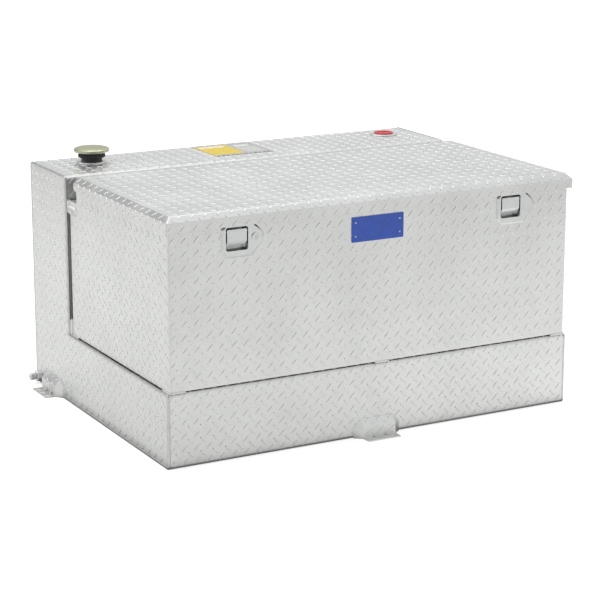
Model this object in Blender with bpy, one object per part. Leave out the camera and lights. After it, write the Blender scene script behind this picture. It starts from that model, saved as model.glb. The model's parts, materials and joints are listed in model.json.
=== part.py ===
"""Truck bed transfer tank: an L-shaped fuel tank with a hinged-lid tool chest welded on its step.

Metres, +Z up. X runs across the truck and +Y towards the cab, so the latches face -Y.
The origin is the centre of the tank's bottom face.
"""
import math

import bmesh
import bpy
from mathutils import Matrix, Vector

# General clearances
TOUCH = 0.0003            # gap between two pieces that bear on each other
RUNNING = 0.0003          # radial gap of a pin in its hole
REACH = 0.010             # how far a cutter runs past what it cuts

# Tank
TANK_WIDTH = 1.245
TANK_DEPTH = 0.927
TANK_HEIGHT = 0.660
STEP_HEIGHT = 0.203
UPPER_DEPTH = 0.264
TANK_SHEET = 0.0032
TANK_BEND = 0.008
BAFFLE_SHEET = 0.0025
BAFFLE_SPACING = 0.410
BAFFLE_HOLE = 0.055
LIMBER_RADIUS = 0.022

# Chest
CHEST_INSET = 0.0065
CHEST_GAP = 0.004
CHEST_REAR_GAP = 0.012
RIM_DROP = 0.020          # the chest's rim below the tank's top
CHEST_SHEET = 0.0016
CHEST_BEND = 0.006
RIM_FLANGE = 0.022
GUTTER_DEPTH = 0.054
GUTTER_DROP = 0.046
SEAL_INSET = 0.004
SEAL_WIDTH = 0.012
SEAL_HEIGHT = 0.0095
SEAL_SHOULDER = 0.6       # share of the height where the crown starts

# Lid
LID_SIDE_OVERHANG = 0.0085
LID_FRONT_OVERHANG = 0.012
LID_SHEET = 0.0016
LID_PAN_SHEET = 0.0012
LID_CORE = 0.0153
LID_BEVEL = 0.015
LID_SKIRT = 0.0254
LID_BEND = 0.004
LID_CORNER = 0.003
LID_REAR_FLANGE = 0.017
SKIRT_NOTCH_LENGTH = 0.020
SKIRT_NOTCH_HEIGHT = 0.009

# Piano hinge
HINGE_LEAF = 0.0015
HINGE_RADIUS = 0.004
HINGE_PIN_RADIUS = 0.0015
HINGE_DROP = 0.0055       # axis above the chest's rim
KNUCKLE_PITCH = 0.076
KNUCKLE_PLAY = 0.0008
HINGE_END_MARGIN = 0.010
CHEST_LEAF_HEIGHT = 0.038
LID_LEAF_HEIGHT = 0.0195

# Paddle latches
LATCH_INSET = 0.194       # from the chest's side to the opening's middle
LATCH_DROP = 0.0465       # from the chest's rim to the opening's middle
OPENING_WIDTH = 0.064
OPENING_HEIGHT = 0.062
OPENING_CORNER = 0.006
DISH_SHEET = 0.0012
DISH_PROUD = 0.0040
DISH_BORDER = 0.0055
DISH_DEPTH = 0.026
PLATE_LEFT = 0.0444
PLATE_BOTTOM = 0.0500
PLATE_TOP = 0.0430
PLATE_RIGHT = 0.0440
PLATE_CHAMFER = 0.0158
PLATE_CORNER = 0.006
LOBE_OFFSET = 0.0534
LOBE_RADIUS = 0.026
PADDLE_SHEET = 0.0020
PADDLE_SIDE_GAP = 0.0038
PADDLE_TOP_GAP = 0.0060
PADDLE_BOTTOM_GAP = 0.0050
PADDLE_CREASE = 0.60      # share of the paddle's height that stays flat
PADDLE_SCOOP = 0.012
PADDLE_KNUCKLE = 0.0055
PADDLE_TOP_LIP = 0.001    # sheet above the knuckles
PADDLE_PIN = 0.0025
SPRING_SPAN = 0.016
SPRING_WIRE = 0.0005
SPRING_TURNS = 3
LOCK_FACE = 0.0115
LOCK_BARREL = 0.0095
LOCK_PLUG = 0.0065
LOCK_LENGTH = 0.032
LOCK_FACE_PROUD = 0.0025
LOCK_EDGE = 0.0004
KEY_SLOT_LENGTH = 0.0075
KEY_SLOT_WIDTH = 0.0014
KEY_SLOT_DEPTH = 0.004
LOCK_CAM_LENGTH = 0.026
LOCK_CAM_WIDTH = 0.010
LOCK_CAM_SHEET = 0.0025

# Catches and strikers
CATCH_SETBACK = 0.052     # from the chest's front to the catch pin
CATCH_DROP = 0.003        # catch pin below the opening's middle
CATCH_THROW = 0.030       # catch pin to striker bar
CATCH_SHEET = 0.004
CATCH_HUB = 0.008
CATCH_PIN = 0.003
CATCH_LIP = 0.0055
CATCH_ARM_START = -10.0   # released angles, degrees from +Y towards +Z
CATCH_LIP_START = 7.0
CATCH_LIP_END = 45.0
STRIKER_BAR = 0.004
STRIKER_PLAY = 0.0012
STRIKER_HALF_WIDTH = 0.016
STRIKER_SHEET = 0.002
STRIKER_LENGTH = 0.024
BRACKET_SHEET = 0.002
BRACKET_HALF_WIDTH = 0.011
BRACKET_HALF_HEIGHT = 0.012

# Gas struts
STRUT_INSET = 0.045       # from the chest's side to the strut's centre line
STRUT_FOOT_SETBACK = 0.0335   # foot pivot in front of the gutter wall
STRUT_FOOT_DROP = 0.300       # foot pivot below the chest's rim
STRUT_HEAD_SETBACK = 0.0735
STRUT_HEAD_DROP = 0.015
STRUT_TUBE = 0.009
STRUT_BORE = 0.0075
STRUT_ROD = 0.004
STRUT_TUBE_LENGTH = 0.170
STRUT_GLAND = 0.008
STRUT_PISTON = 0.010
STRUT_EYE = 0.009
STRUT_EYE_WIDTH = 0.010
STRUT_STUD = 0.004
STRUT_SOCKET = 0.008
STRUT_SOCKET_WIDTH = 0.012
STRUT_PLATE = 0.0025
STRUT_PLATE_SIZE = 0.036
STRUT_PLATE_CORNER = 0.006
STRUT_FOOT_PLAY = 0.002   # stud past the eye
STRUT_SIDE_PLAY = 0.0005  # socket to head stud
STRUT_HEAD_STUD = 0.003

# Fittings on the tank's top and side
PORT_SETBACK = 0.094      # both ports, from the tank's rear
FILLER_INSET = 0.153      # from the tank's left side
PUMP_PORT_INSET = 0.109   # from the tank's right side
BUNG_FLANGE = 0.043
BUNG_THICKNESS = 0.004
BUNG_SPIGOT = 0.036
BUNG_DEPTH = 0.014
BUNG_CHAMFER = 0.0012
PIPE_RADIUS = 0.03015     # outside of a two-inch pipe thread
NECK_BORE = 0.0254
NECK_RISE = 0.010         # smooth neck above the bung
GRIP_RADIUS = 0.0395
GRIP_HEIGHT = 0.0155
GRIP_CHAMFER = 0.003
GRIP_RIB_TOP = 0.0095     # ribs end this far up the grip
GRIP_NECKING = 0.0035
GRIP_RIBS = 24
GRIP_RIB_DEPTH = 0.0014
GASKET_THICKNESS = 0.0014
GASKET_INSET = 0.0025
CAP_RADIUS = 0.0515
CAP_RIM = 0.0075
CAP_DOME = 0.0075
CAP_EDGE = 0.002
CAP_SPIGOT_DEPTH = 0.010
CAP_SPIGOT_PLAY = 0.0045  # radial gap of the cap's spigot in the neck
PLUG_HEAD_HEIGHT = 0.003
PLUG_DEPTH = 0.016
PLUG_RECESS = 0.020
PLUG_RECESS_DEPTH = 0.0018
PLUG_CHAMFER = 0.001
DRAIN_SETBACK = 0.032     # from the tank's rear to the drain's axis
DRAIN_HEIGHT = 0.022
DRAIN_BUNG = 0.016
DRAIN_BUNG_LENGTH = 0.015
DRAIN_BORE = 0.0105
DRAIN_SPIGOT = 0.013
DRAIN_NECK = 0.0085
DRAIN_HEAD = 0.0103
DRAIN_HEAD_LENGTH = 0.012
DRAIN_NECK_LENGTH = 0.007
DRAIN_CHAMFER = 0.001

# Feet
FOOT_SHEET = 0.0032
FOOT_HALF_WIDTH = 0.050
FOOT_HALF_BASE = 0.072
FOOT_RUN = 0.018
FOOT_RISER = 0.033
FOOT_TOP = 0.052
FOOT_WING = 0.031
FOOT_FLANGE = 0.048
FOOT_SIDE_SETBACK = 0.137  # side feet from the tank's rear

# Name plate and top label
NAME_PLATE = (0.160, 0.0012, 0.0685)
NAME_PLATE_DROP = 0.0610   # plate's middle below the chest's rim
NAME_PLATE_OFFSET = -0.0015
NAME_PLATE_CORNER = 0.003
LABEL = (0.190, 0.168, 0.0004)
LABEL_OFFSET = -0.018
LABEL_SETBACK = 0.106     # label's middle from the tank's rear

# Welds between chest and tank
WELD_PROUD = 0.0015
WELD_DEPTH = 0.010
WELD_CORNER_LENGTH = 0.047
WELD_MIDDLE_LENGTH = 0.046
WELD_MIDDLE_X = 0.016
WELD_SIDE_LENGTH = 0.045
WELD_WALL_HEIGHT = 0.038
WELD_ROUND = 0.003

# Planes that several pieces share
FRONT = -TANK_DEPTH / 2
REAR = TANK_DEPTH / 2
SIDE = TANK_WIDTH / 2
WALL = REAR - UPPER_DEPTH
CHEST_SIDE = SIDE - CHEST_INSET
CHEST_BOTTOM = STEP_HEIGHT + CHEST_GAP
RIM = TANK_HEIGHT - RIM_DROP
CHEST_REAR = WALL - CHEST_REAR_GAP
GUTTER_WALL = CHEST_REAR - GUTTER_DEPTH
GUTTER_FLOOR = RIM - GUTTER_DROP
PAN_BOTTOM = RIM + SEAL_HEIGHT + 2 * TOUCH
LID_TOP = PAN_BOTTOM + LID_PAN_SHEET + LID_CORE + LID_SHEET + 2 * TOUCH
LID_SIDE = CHEST_SIDE + LID_SIDE_OVERHANG
LID_FRONT = FRONT - LID_FRONT_OVERHANG
LID_REAR = GUTTER_WALL
BEVEL_BOTTOM = LID_TOP - LID_BEVEL
SKIRT_BOTTOM = BEVEL_BOTTOM - LID_SKIRT
HINGE_Y = GUTTER_WALL + TOUCH + HINGE_RADIUS
HINGE_Z = RIM + HINGE_DROP
LATCH_X = CHEST_SIDE - LATCH_INSET
LATCH_Z = RIM - LATCH_DROP
PORT_Y = REAR - PORT_SETBACK
FILLER_X = -SIDE + FILLER_INSET
PUMP_PORT_X = SIDE - PUMP_PORT_INSET
BUNG_TOP = TANK_HEIGHT + TOUCH + BUNG_THICKNESS

ROUND = 24                # sides of a small round piece
FINE_ROUND = 48           # sides of a cap or a bung
BEND_STEPS = 3

MATERIALS = {
    "tread_plate": ((0.78, 0.79, 0.79), 0.32, 1.0),
    "plain_aluminium": ((0.74, 0.75, 0.75), 0.38, 1.0),
    "weld_bead": ((0.70, 0.71, 0.71), 0.45, 1.0),
    "stainless": ((0.66, 0.67, 0.66), 0.25, 1.0),
    "zinc_steel": ((0.60, 0.61, 0.60), 0.35, 1.0),
    "gold_zinc": ((0.62, 0.58, 0.38), 0.28, 1.0),
    "black_plastic": ((0.02, 0.022, 0.022), 0.45, 0.0),
    "red_plastic": ((0.70, 0.015, 0.03), 0.35, 0.0),
    "rubber": ((0.03, 0.03, 0.03), 0.80, 0.0),
    "foam": ((0.80, 0.74, 0.52), 0.90, 0.0),
    "blue_plate": ((0.02, 0.09, 0.45), 0.30, 0.0),
    "label_film": ((0.75, 0.62, 0.12), 0.40, 0.0),
    "black_paint": ((0.025, 0.025, 0.027), 0.35, 0.0),
}


def material(name):
    """A Principled material from the table above, made once."""
    found = bpy.data.materials.get(name)
    if found:
        return found
    colour, roughness, metallic = MATERIALS[name]
    made = bpy.data.materials.new(name)
    made.use_nodes = True
    shader = made.node_tree.nodes["Principled BSDF"]
    shader.inputs["Base Color"].default_value = (*colour, 1.0)
    shader.inputs["Roughness"].default_value = roughness
    shader.inputs["Metallic"].default_value = metallic
    made.diffuse_color = (*colour, 1.0)
    return made


def build(name, bm, finish):
    """Turns a bmesh into a named object whose faces point out."""
    bmesh.ops.recalc_face_normals(bm, faces=bm.faces)
    mesh = bpy.data.meshes.new(name)
    bm.to_mesh(mesh)
    bm.free()
    mesh.materials.append(material(finish))
    piece = bpy.data.objects.new(name, mesh)
    bpy.context.scene.collection.objects.link(piece)
    return piece


def fillet(points, radius, steps=BEND_STEPS, closed=True):
    """Rounds the corners of an outline; radius is one value or one for each point."""
    count = len(points)
    radii = radius if isinstance(radius, (list, tuple)) else [radius] * count
    rounded = []
    for index, point in enumerate(points):
        corner = Vector(point)
        if radii[index] <= 0 or (not closed and index in (0, count - 1)):
            rounded.append(tuple(corner))
            continue
        before = Vector(points[index - 1]) - corner
        after = Vector(points[(index + 1) % count]) - corner
        half = before.angle(after) / 2
        run = min(radii[index] / math.tan(half), before.length * 0.49, after.length * 0.49)
        centre = corner + (before.normalized() + after.normalized()).normalized() * run / math.cos(half)
        start = corner + before.normalized() * run - centre
        end = corner + after.normalized() * run - centre
        sweep = start.angle_signed(end)
        for step in range(steps + 1):
            turn = Matrix.Rotation(-sweep * step / steps, 2)
            rounded.append(tuple(centre + turn @ start))
    return rounded


def inset(points, distance):
    """Moves every side of an anticlockwise outline inwards by a distance."""
    moved = []
    count = len(points)
    for index, point in enumerate(points):
        corner = Vector(point)
        before = (corner - Vector(points[index - 1])).normalized()
        after = (Vector(points[(index + 1) % count]) - corner).normalized()
        normal_before = Vector((-before.y, before.x))
        normal_after = Vector((-after.y, after.x))
        mitre = (normal_before + normal_after).normalized()
        moved.append(tuple(corner + mitre * distance / mitre.dot(normal_before)))
    return moved


def rectangle(low_a, high_a, low_b, high_b):
    return [(low_a, low_b), (high_a, low_b), (high_a, high_b), (low_a, high_b)]


def arc(centre, radius, start, end, steps):
    """Points on a circle from one angle in degrees to another, both ends included."""
    return [(centre[0] + radius * math.cos(math.radians(start + (end - start) * k / steps)),
             centre[1] + radius * math.sin(math.radians(start + (end - start) * k / steps)))
            for k in range(steps + 1)]


def place(axis, point, along):
    """A point of an outline, set at a distance along the axis that the outline is swept on."""
    if axis == "X":
        return (along, point[0], point[1])
    if axis == "Y":
        return (point[0], along, point[1])
    return (point[0], point[1], along)


def loft(name, rings, finish, ring_closed=False):
    """Skins rings with as many points each; ring_closed joins the last ring to the first."""
    bm = bmesh.new()
    loops = [[bm.verts.new(point) for point in ring] for ring in rings]
    pairs = list(zip(loops, loops[1:]))
    if ring_closed:
        pairs.append((loops[-1], loops[0]))
    for low, high in pairs:
        for k in range(len(low)):
            after = (k + 1) % len(low)
            bm.faces.new((low[k], low[after], high[after], high[k]))
    if not ring_closed:
        bm.faces.new(loops[0])
        bm.faces.new(loops[-1])
    return build(name, bm, finish)


def prism(name, outline, axis, low, high, finish):
    """Extrudes an outline between two distances along an axis."""
    bm = bmesh.new()
    face = bm.faces.new([bm.verts.new(place(axis, point, low)) for point in outline])
    extruded = bmesh.ops.extrude_face_region(bm, geom=[face])
    moved = [item for item in extruded["geom"] if isinstance(item, bmesh.types.BMVert)]
    bmesh.ops.translate(bm, verts=moved, vec=place(axis, (0, 0), high - low))
    return build(name, bm, finish)


def box(name, low, high, finish):
    return prism(name, rectangle(low[0], high[0], low[1], high[1]), "Z", low[2], high[2], finish)


def revolve(name, profile, centre, axis, finish, sides=FINE_ROUND):
    """Spins a closed (radius, height) profile about an axis through the centre."""
    bm = bmesh.new()
    rows = []
    for radius, height in profile:
        if radius < 1e-7:
            pole = bm.verts.new(turned(axis, centre, 0.0, height, 0.0))
            rows.append([pole] * sides)
        else:
            rows.append([bm.verts.new(turned(axis, centre, radius, height, 2 * math.pi * k / sides))
                         for k in range(sides)])
    for row, following in zip(rows, rows[1:] + rows[:1]):
        for k in range(sides):
            after = (k + 1) % sides
            corners = []
            for vert in (row[k], row[after], following[after], following[k]):
                if vert not in corners:
                    corners.append(vert)
            if len(corners) > 2:
                bm.faces.new(corners)
    return build(name, bm, finish)


def turned(axis, centre, radius, height, angle):
    """A point at a radius and angle about an axis, at a height along it."""
    a, b = radius * math.cos(angle), radius * math.sin(angle)
    offset = {"X": (height, a, b), "Y": (a, height, b), "Z": (a, b, height)}[axis]
    return tuple(c + o for c, o in zip(centre, offset))


def rod(name, centre, axis, radius, low, high, finish, sides=ROUND):
    """A round bar along an axis, from one height to another measured from its centre point."""
    return revolve(name, [(0, low), (radius, low), (radius, high), (0, high)], centre, axis, finish, sides)


def combine(piece, operation, tools, solver):
    """Applies a Boolean with each tool in turn and removes the tools."""
    for tool in tools:
        step = piece.modifiers.new("combine", "BOOLEAN")
        step.operation = operation
        step.solver = solver
        step.object = tool
        graph = bpy.context.evaluated_depsgraph_get()
        mesh = bpy.data.meshes.new_from_object(piece.evaluated_get(graph))
        piece.modifiers.clear()
        old = piece.data
        piece.data = mesh
        mesh.name = piece.name
        bpy.data.meshes.remove(old)
        bpy.data.objects.remove(tool, do_unlink=True)
    return piece


def cut(piece, *tools, solver="EXACT"):
    return combine(piece, "DIFFERENCE", tools, solver)


def fuse(piece, *tools, solver="EXACT"):
    return combine(piece, "UNION", tools, solver)


def smooth(piece, angle=35.0):
    """Shades round surfaces smooth and keeps the edges between flat ones."""
    piece.data.shade_smooth()
    piece.data.set_sharp_from_angle(angle=math.radians(angle))
    return piece


def pivot(piece, point):
    """Moves an object's origin to a point without moving its shape."""
    piece.data.transform(Matrix.Translation(-Vector(point)))
    piece.location = point
    return piece


def tank_outline(wall):
    """The tank's L-shaped section, as (y, z), moved inwards by a wall's thickness."""
    corners = [(FRONT + wall, wall), (REAR - wall, wall), (REAR - wall, TANK_HEIGHT - wall),
               (WALL + wall, TANK_HEIGHT - wall), (WALL + wall, STEP_HEIGHT - wall),
               (FRONT + wall, STEP_HEIGHT - wall)]
    outer = max(TANK_BEND - wall, TANK_SHEET / 2)
    inner = TANK_BEND / 2 + wall
    return fillet(corners, [outer, outer, outer, outer, inner, outer])


def make_tank():
    """The folded wrap, its two end plates and the baffles inside."""
    inner_end = SIDE - TANK_SHEET - TOUCH
    shell = prism("tank_shell", tank_outline(0.0), "X", -inner_end, inner_end, "tread_plate")
    hollow = prism("cut", tank_outline(TANK_SHEET), "X", -SIDE - REACH, SIDE + REACH, "tread_plate")
    ports = [rod("cut", (x, PORT_Y, TANK_HEIGHT), "Z", BUNG_SPIGOT + TOUCH, -REACH, REACH, "tread_plate",
                 FINE_ROUND) for x in (FILLER_X, PUMP_PORT_X)]
    cut(shell, hollow, *ports)
    smooth(shell)
    left = prism("tank_end_left", tank_outline(0.0), "X", -SIDE, -SIDE + TANK_SHEET, "tread_plate")
    drain_hole = rod("cut", (-SIDE, REAR - DRAIN_SETBACK, DRAIN_HEIGHT), "X", DRAIN_SPIGOT + TOUCH,
                     -REACH, REACH, "tread_plate")
    cut(left, drain_hole)
    prism("tank_end_right", tank_outline(0.0), "X", SIDE - TANK_SHEET, SIDE, "tread_plate")
    for name, x in (("baffle_left", -BAFFLE_SPACING / 2), ("baffle_right", BAFFLE_SPACING / 2)):
        make_baffle(name, x)


def make_baffle(name, x):
    """A slosh baffle with flow holes, and limber holes at its bottom corners."""
    baffle = prism(name, tank_outline(TANK_SHEET + TOUCH), "X", x - BAFFLE_SHEET / 2,
                   x + BAFFLE_SHEET / 2, "plain_aluminium")
    middle = (STEP_HEIGHT + TANK_HEIGHT) / 2
    spots = [((WALL + REAR) / 2, middle, BAFFLE_HOLE),
             ((FRONT + WALL) / 2, STEP_HEIGHT / 2, BAFFLE_HOLE),
             ((WALL + REAR) / 2, STEP_HEIGHT / 2, BAFFLE_HOLE),
             (FRONT + TANK_SHEET, TANK_SHEET, LIMBER_RADIUS),
             (REAR - TANK_SHEET, TANK_SHEET, LIMBER_RADIUS)]
    holes = [rod("cut", (x, y, z), "X", radius, -REACH, REACH, "plain_aluminium") for y, z, radius in spots]
    cut(baffle, *holes)


def make_foot(name, placing):
    """A bent-plate foot: sloped top, riser, flared sides and a flange on the floor.

    Modelled against a wall in the plane y = 0, standing out towards -Y, then placed.
    """
    def body(shrink, back, bottom):
        a, b, run = FOOT_HALF_WIDTH - shrink * 0.4, FOOT_HALF_BASE - shrink * 1.2, FOOT_RUN - shrink
        top, riser, wing = FOOT_TOP - shrink * 1.4, FOOT_RISER - shrink * 0.6, FOOT_WING - shrink
        bm = bmesh.new()
        side = {}
        for sign in (-1, 1):
            spots = [(a, back, top), (a, -run, riser), (a, -run, bottom), (b, back, bottom), (b, back, wing)]
            side[sign] = [bm.verts.new((sign * x, y, z)) for x, y, z in spots]
        left, right = side[-1], side[1]
        for k, after in ((0, 1), (1, 2)):
            bm.faces.new((left[k], right[k], right[after], left[after]))
        for half in (left, right):
            bm.faces.new((half[1], half[2], half[3], half[4]))
            bm.faces.new((half[0], half[1], half[4]))
        bm.faces.new((left[0], right[0], right[4], right[3], left[3], left[4]))
        bm.faces.new((left[2], right[2], right[3], left[3]))
        return build(name, bm, "tread_plate")

    foot = body(0.0, -TOUCH, 0.0)
    cut(foot, body(FOOT_SHEET, REACH, -REACH))
    flange = box("flange", (-FOOT_HALF_WIDTH, -FOOT_FLANGE, 0), (FOOT_HALF_WIDTH, -FOOT_RUN + FOOT_SHEET / 2,
                                                                 FOOT_SHEET), "tread_plate")
    fuse(foot, flange)
    foot.data.transform(placing)
    return foot


def make_feet():
    side_y = REAR - FOOT_SIDE_SETBACK
    make_foot("foot_front", Matrix.Translation((0, FRONT, 0)))
    make_foot("foot_left", Matrix.Translation((-SIDE, side_y, 0)) @ Matrix.Rotation(-math.pi / 2, 4, "Z"))
    make_foot("foot_right", Matrix.Translation((SIDE, side_y, 0)) @ Matrix.Rotation(math.pi / 2, 4, "Z"))


def make_bung(name, x):
    """A welded two-inch bung: a flange on the tank's top and a spigot through it."""
    bore = PIPE_RADIUS + RUNNING
    low, seat = -BUNG_DEPTH, TOUCH
    top = TOUCH + BUNG_THICKNESS
    profile = [(bore, low), (BUNG_SPIGOT, low), (BUNG_SPIGOT, seat), (BUNG_FLANGE, seat),
               (BUNG_FLANGE, top - BUNG_CHAMFER), (BUNG_FLANGE - BUNG_CHAMFER, top), (bore, top)]
    return smooth(revolve(name, profile, (x, PORT_Y, TANK_HEIGHT), "Z", "plain_aluminium"))


def make_filler():
    """Bung, black threaded neck with a ribbed grip, gasket and pressed metal cap."""
    make_bung("filler_bung", FILLER_X)
    grip_low = BUNG_TOP + NECK_RISE
    grip_top = grip_low + GRIP_HEIGHT
    collar = GRIP_RADIUS - GRIP_NECKING
    levels = [(PIPE_RADIUS, BUNG_TOP - BUNG_DEPTH, 0), (PIPE_RADIUS, grip_low, 0),
              (GRIP_RADIUS - GRIP_CHAMFER, grip_low + 0.25 * GRIP_CHAMFER, 0),
              (GRIP_RADIUS, grip_low + GRIP_CHAMFER, 1), (GRIP_RADIUS, grip_low + GRIP_RIB_TOP, 1),
              (collar, grip_low + GRIP_RIB_TOP + 0.3 * GRIP_CHAMFER, 0), (collar, grip_top, 0),
              (NECK_BORE, grip_top, 0), (NECK_BORE, BUNG_TOP - BUNG_DEPTH, 0)]
    sides = 2 * GRIP_RIBS
    rings = []
    for radius, height, ribbed in levels:
        ring = []
        for k in range(sides):
            reach = radius - GRIP_RIB_DEPTH * ribbed * (k % 2)
            ring.append(turned("Z", (FILLER_X, PORT_Y, 0), reach, height, 2 * math.pi * k / sides))
        rings.append(ring)
    loft("filler_neck", rings, "black_plastic", ring_closed=True)
    centre = (FILLER_X, PORT_Y, grip_top + TOUCH)
    edge = collar - GASKET_INSET
    gasket = [(NECK_BORE, 0), (edge, 0), (edge, GASKET_THICKNESS), (NECK_BORE, GASKET_THICKNESS)]
    pivot(revolve("filler_gasket", gasket, centre, "Z", "rubber", ROUND), centre)
    seat = GASKET_THICKNESS + TOUCH
    spigot = NECK_BORE - CAP_SPIGOT_PLAY
    rim = seat + CAP_RIM
    dome = [(CAP_RADIUS * math.sin(angle), rim + CAP_DOME * math.cos(angle))
            for angle in (math.radians(90 * k / 5) for k in range(5))]
    profile = [(0, seat - CAP_SPIGOT_DEPTH), (spigot, seat - CAP_SPIGOT_DEPTH), (spigot, seat),
               (CAP_RADIUS - CAP_EDGE, seat), (CAP_RADIUS, seat + CAP_EDGE), (CAP_RADIUS, rim)] + dome[:0:-1]
    profile.append((0, rim + CAP_DOME))
    pivot(smooth(revolve("filler_cap", profile, centre, "Z", "gold_zinc")), centre)


def make_pump_port():
    """A second bung, closed by a red threaded plug with a recessed head."""
    make_bung("pump_port_bung", PUMP_PORT_X)
    radius = PIPE_RADIUS - RUNNING
    top = PLUG_HEAD_HEIGHT
    floor = top - PLUG_RECESS_DEPTH
    profile = [(0, -PLUG_DEPTH), (radius, -PLUG_DEPTH), (radius, top - PLUG_CHAMFER),
               (radius - PLUG_CHAMFER, top), (PLUG_RECESS, top), (PLUG_RECESS - PLUG_CHAMFER, floor),
               (0, floor)]
    centre = (PUMP_PORT_X, PORT_Y, BUNG_TOP)
    pivot(smooth(revolve("pump_port_plug", profile, centre, "Z", "red_plastic")), centre)


def make_drain():
    """Threaded drain bung low on the left end, with its plug."""
    centre = (-SIDE, REAR - DRAIN_SETBACK, DRAIN_HEIGHT)
    outer = -TOUCH - DRAIN_BUNG_LENGTH
    bung = [(DRAIN_BORE, outer), (DRAIN_BUNG - DRAIN_CHAMFER, outer), (DRAIN_BUNG, outer + DRAIN_CHAMFER),
            (DRAIN_BUNG, -TOUCH), (DRAIN_SPIGOT, -TOUCH), (DRAIN_SPIGOT, TANK_SHEET),
            (DRAIN_BORE, TANK_SHEET)]
    smooth(revolve("drain_bung", bung, centre, "X", "plain_aluminium", ROUND))
    neck = outer - DRAIN_NECK_LENGTH
    head = neck - DRAIN_HEAD_LENGTH
    fit = DRAIN_BORE - RUNNING
    plug = [(0, TANK_SHEET), (fit, TANK_SHEET), (fit, outer - DRAIN_CHAMFER),
            (DRAIN_NECK, outer - 2 * DRAIN_CHAMFER), (DRAIN_NECK, neck), (DRAIN_HEAD, neck),
            (DRAIN_HEAD, head + 2 * DRAIN_CHAMFER), (DRAIN_HEAD - 2 * DRAIN_CHAMFER, head), (0, head)]
    pivot(smooth(revolve("drain_plug", plug, centre, "X", "zinc_steel", ROUND)), centre)


def chest_form(name, wall):
    """The chest's outer form moved inwards by a wall: round upright corners, a gutter at its upper rear."""
    side = CHEST_SIDE - wall
    plan = fillet(rectangle(-side, side, FRONT + wall, CHEST_REAR - wall), CHEST_BEND - wall)
    form = prism(name, plan, "Z", CHEST_BOTTOM + wall, RIM - wall, "tread_plate")
    gutter = box("cut", (-SIDE, GUTTER_WALL - wall, GUTTER_FLOOR - wall),
                 (SIDE, CHEST_REAR + REACH, RIM + REACH), "tread_plate")
    return cut(form, gutter)


def make_chest():
    """Folded open-topped chest with a return flange round its rim, and the seal on it."""
    chest = chest_form("chest_body", 0.0)
    hollow = chest_form("cut", CHEST_SHEET)
    mouth = box("cut", (-CHEST_SIDE + RIM_FLANGE, FRONT + RIM_FLANGE, RIM - REACH),
                (CHEST_SIDE - RIM_FLANGE, GUTTER_WALL - RIM_FLANGE, RIM + REACH), "tread_plate")
    cut(chest, hollow, mouth)
    for x in (-LATCH_X, LATCH_X):
        hole = opening_outline(x, DISH_SHEET + TOUCH)
        cut(chest, prism("cut", hole, "Y", FRONT - REACH, FRONT + REACH, "tread_plate"))
    lock_hole = rod("cut", lock_centre(), "Y", LOCK_BARREL + TOUCH, -REACH, REACH, "tread_plate")
    cut(chest, lock_hole)
    smooth(chest)
    low, high = RIM + TOUCH, RIM + TOUCH + SEAL_HEIGHT
    shoulder = low + SEAL_SHOULDER * SEAL_HEIGHT
    section = [(0, low), (0, shoulder), (0.25 * SEAL_WIDTH, high), (0.75 * SEAL_WIDTH, high),
               (SEAL_WIDTH, shoulder), (SEAL_WIDTH, low)]
    rings = []
    for offset, z in section:
        edge = SEAL_INSET + offset
        loop = rectangle(-CHEST_SIDE + edge, CHEST_SIDE - edge, FRONT + edge, GUTTER_WALL - edge)
        rings.append([(x, y, z) for x, y in loop])
    smooth(loft("chest_seal", rings, "rubber", ring_closed=True))


def make_welds():
    """Stitch welds that hold the chest on the tank's step and against its wall."""
    low, high = STEP_HEIGHT + TOUCH, CHEST_BOTTOM - TOUCH
    face = FRONT - WELD_PROUD
    edge = CHEST_SIDE + WELD_PROUD
    for name, sign in (("weld_front_left", -1), ("weld_front_right", 1)):
        outline = [(sign * edge, face), (sign * (edge - WELD_CORNER_LENGTH), face),
                   (sign * (edge - WELD_CORNER_LENGTH), FRONT + WELD_DEPTH),
                   (sign * (CHEST_SIDE - WELD_DEPTH), FRONT + WELD_DEPTH),
                   (sign * (CHEST_SIDE - WELD_DEPTH), face + WELD_CORNER_LENGTH),
                   (sign * edge, face + WELD_CORNER_LENGTH)]
        prism(name, outline, "Z", low, high, "weld_bead")
    box("weld_front_middle", (WELD_MIDDLE_X - WELD_MIDDLE_LENGTH / 2, face, low),
        (WELD_MIDDLE_X + WELD_MIDDLE_LENGTH / 2, FRONT + WELD_DEPTH, high), "weld_bead")
    bead_low = GUTTER_FLOOR - WELD_WALL_HEIGHT
    for hand, sign in (("left", -1), ("right", 1)):
        xs = sorted((sign * edge, sign * (CHEST_SIDE - WELD_DEPTH)))
        box(f"weld_side_{hand}", (xs[0], CHEST_REAR - WELD_SIDE_LENGTH, low), (xs[1], CHEST_REAR, high),
            "weld_bead")
        wall_edge = SIDE - TANK_BEND / 2
        xs = sorted((sign * wall_edge, sign * (CHEST_SIDE - WELD_DEPTH)))
        outline = fillet(rectangle(CHEST_REAR + TOUCH, WALL - TOUCH, bead_low, GUTTER_FLOOR), WELD_ROUND)
        prism(f"weld_wall_{hand}", outline, "X", xs[0], xs[1], "weld_bead")


def lid_ring(depth, height, side=LID_SIDE, front=LID_FRONT, rear=LID_REAR):
    """One level of the lid: a rectangle that steps in at the front and sides only."""
    loop = fillet(rectangle(-side + depth, side - depth, front + depth, rear),
                  [LID_CORNER, LID_CORNER, 0, 0], 2)
    return [(x, y, height) for x, y in loop]


def lid_profile(wall, bottom):
    """Inset and height along the lid's skirt, bend, bevel and top's edge, moved inwards by a wall."""
    corner = wall * math.tan(math.pi / 8)
    path = [(0, bottom), (0, BEVEL_BOTTOM - corner), (LID_BEVEL - wall + corner, LID_TOP - wall),
            (LID_BEVEL + 4 * LID_BEND, LID_TOP - wall)]
    return fillet(path, max(LID_BEND - wall, 0.001), closed=False)[:-1]


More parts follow.
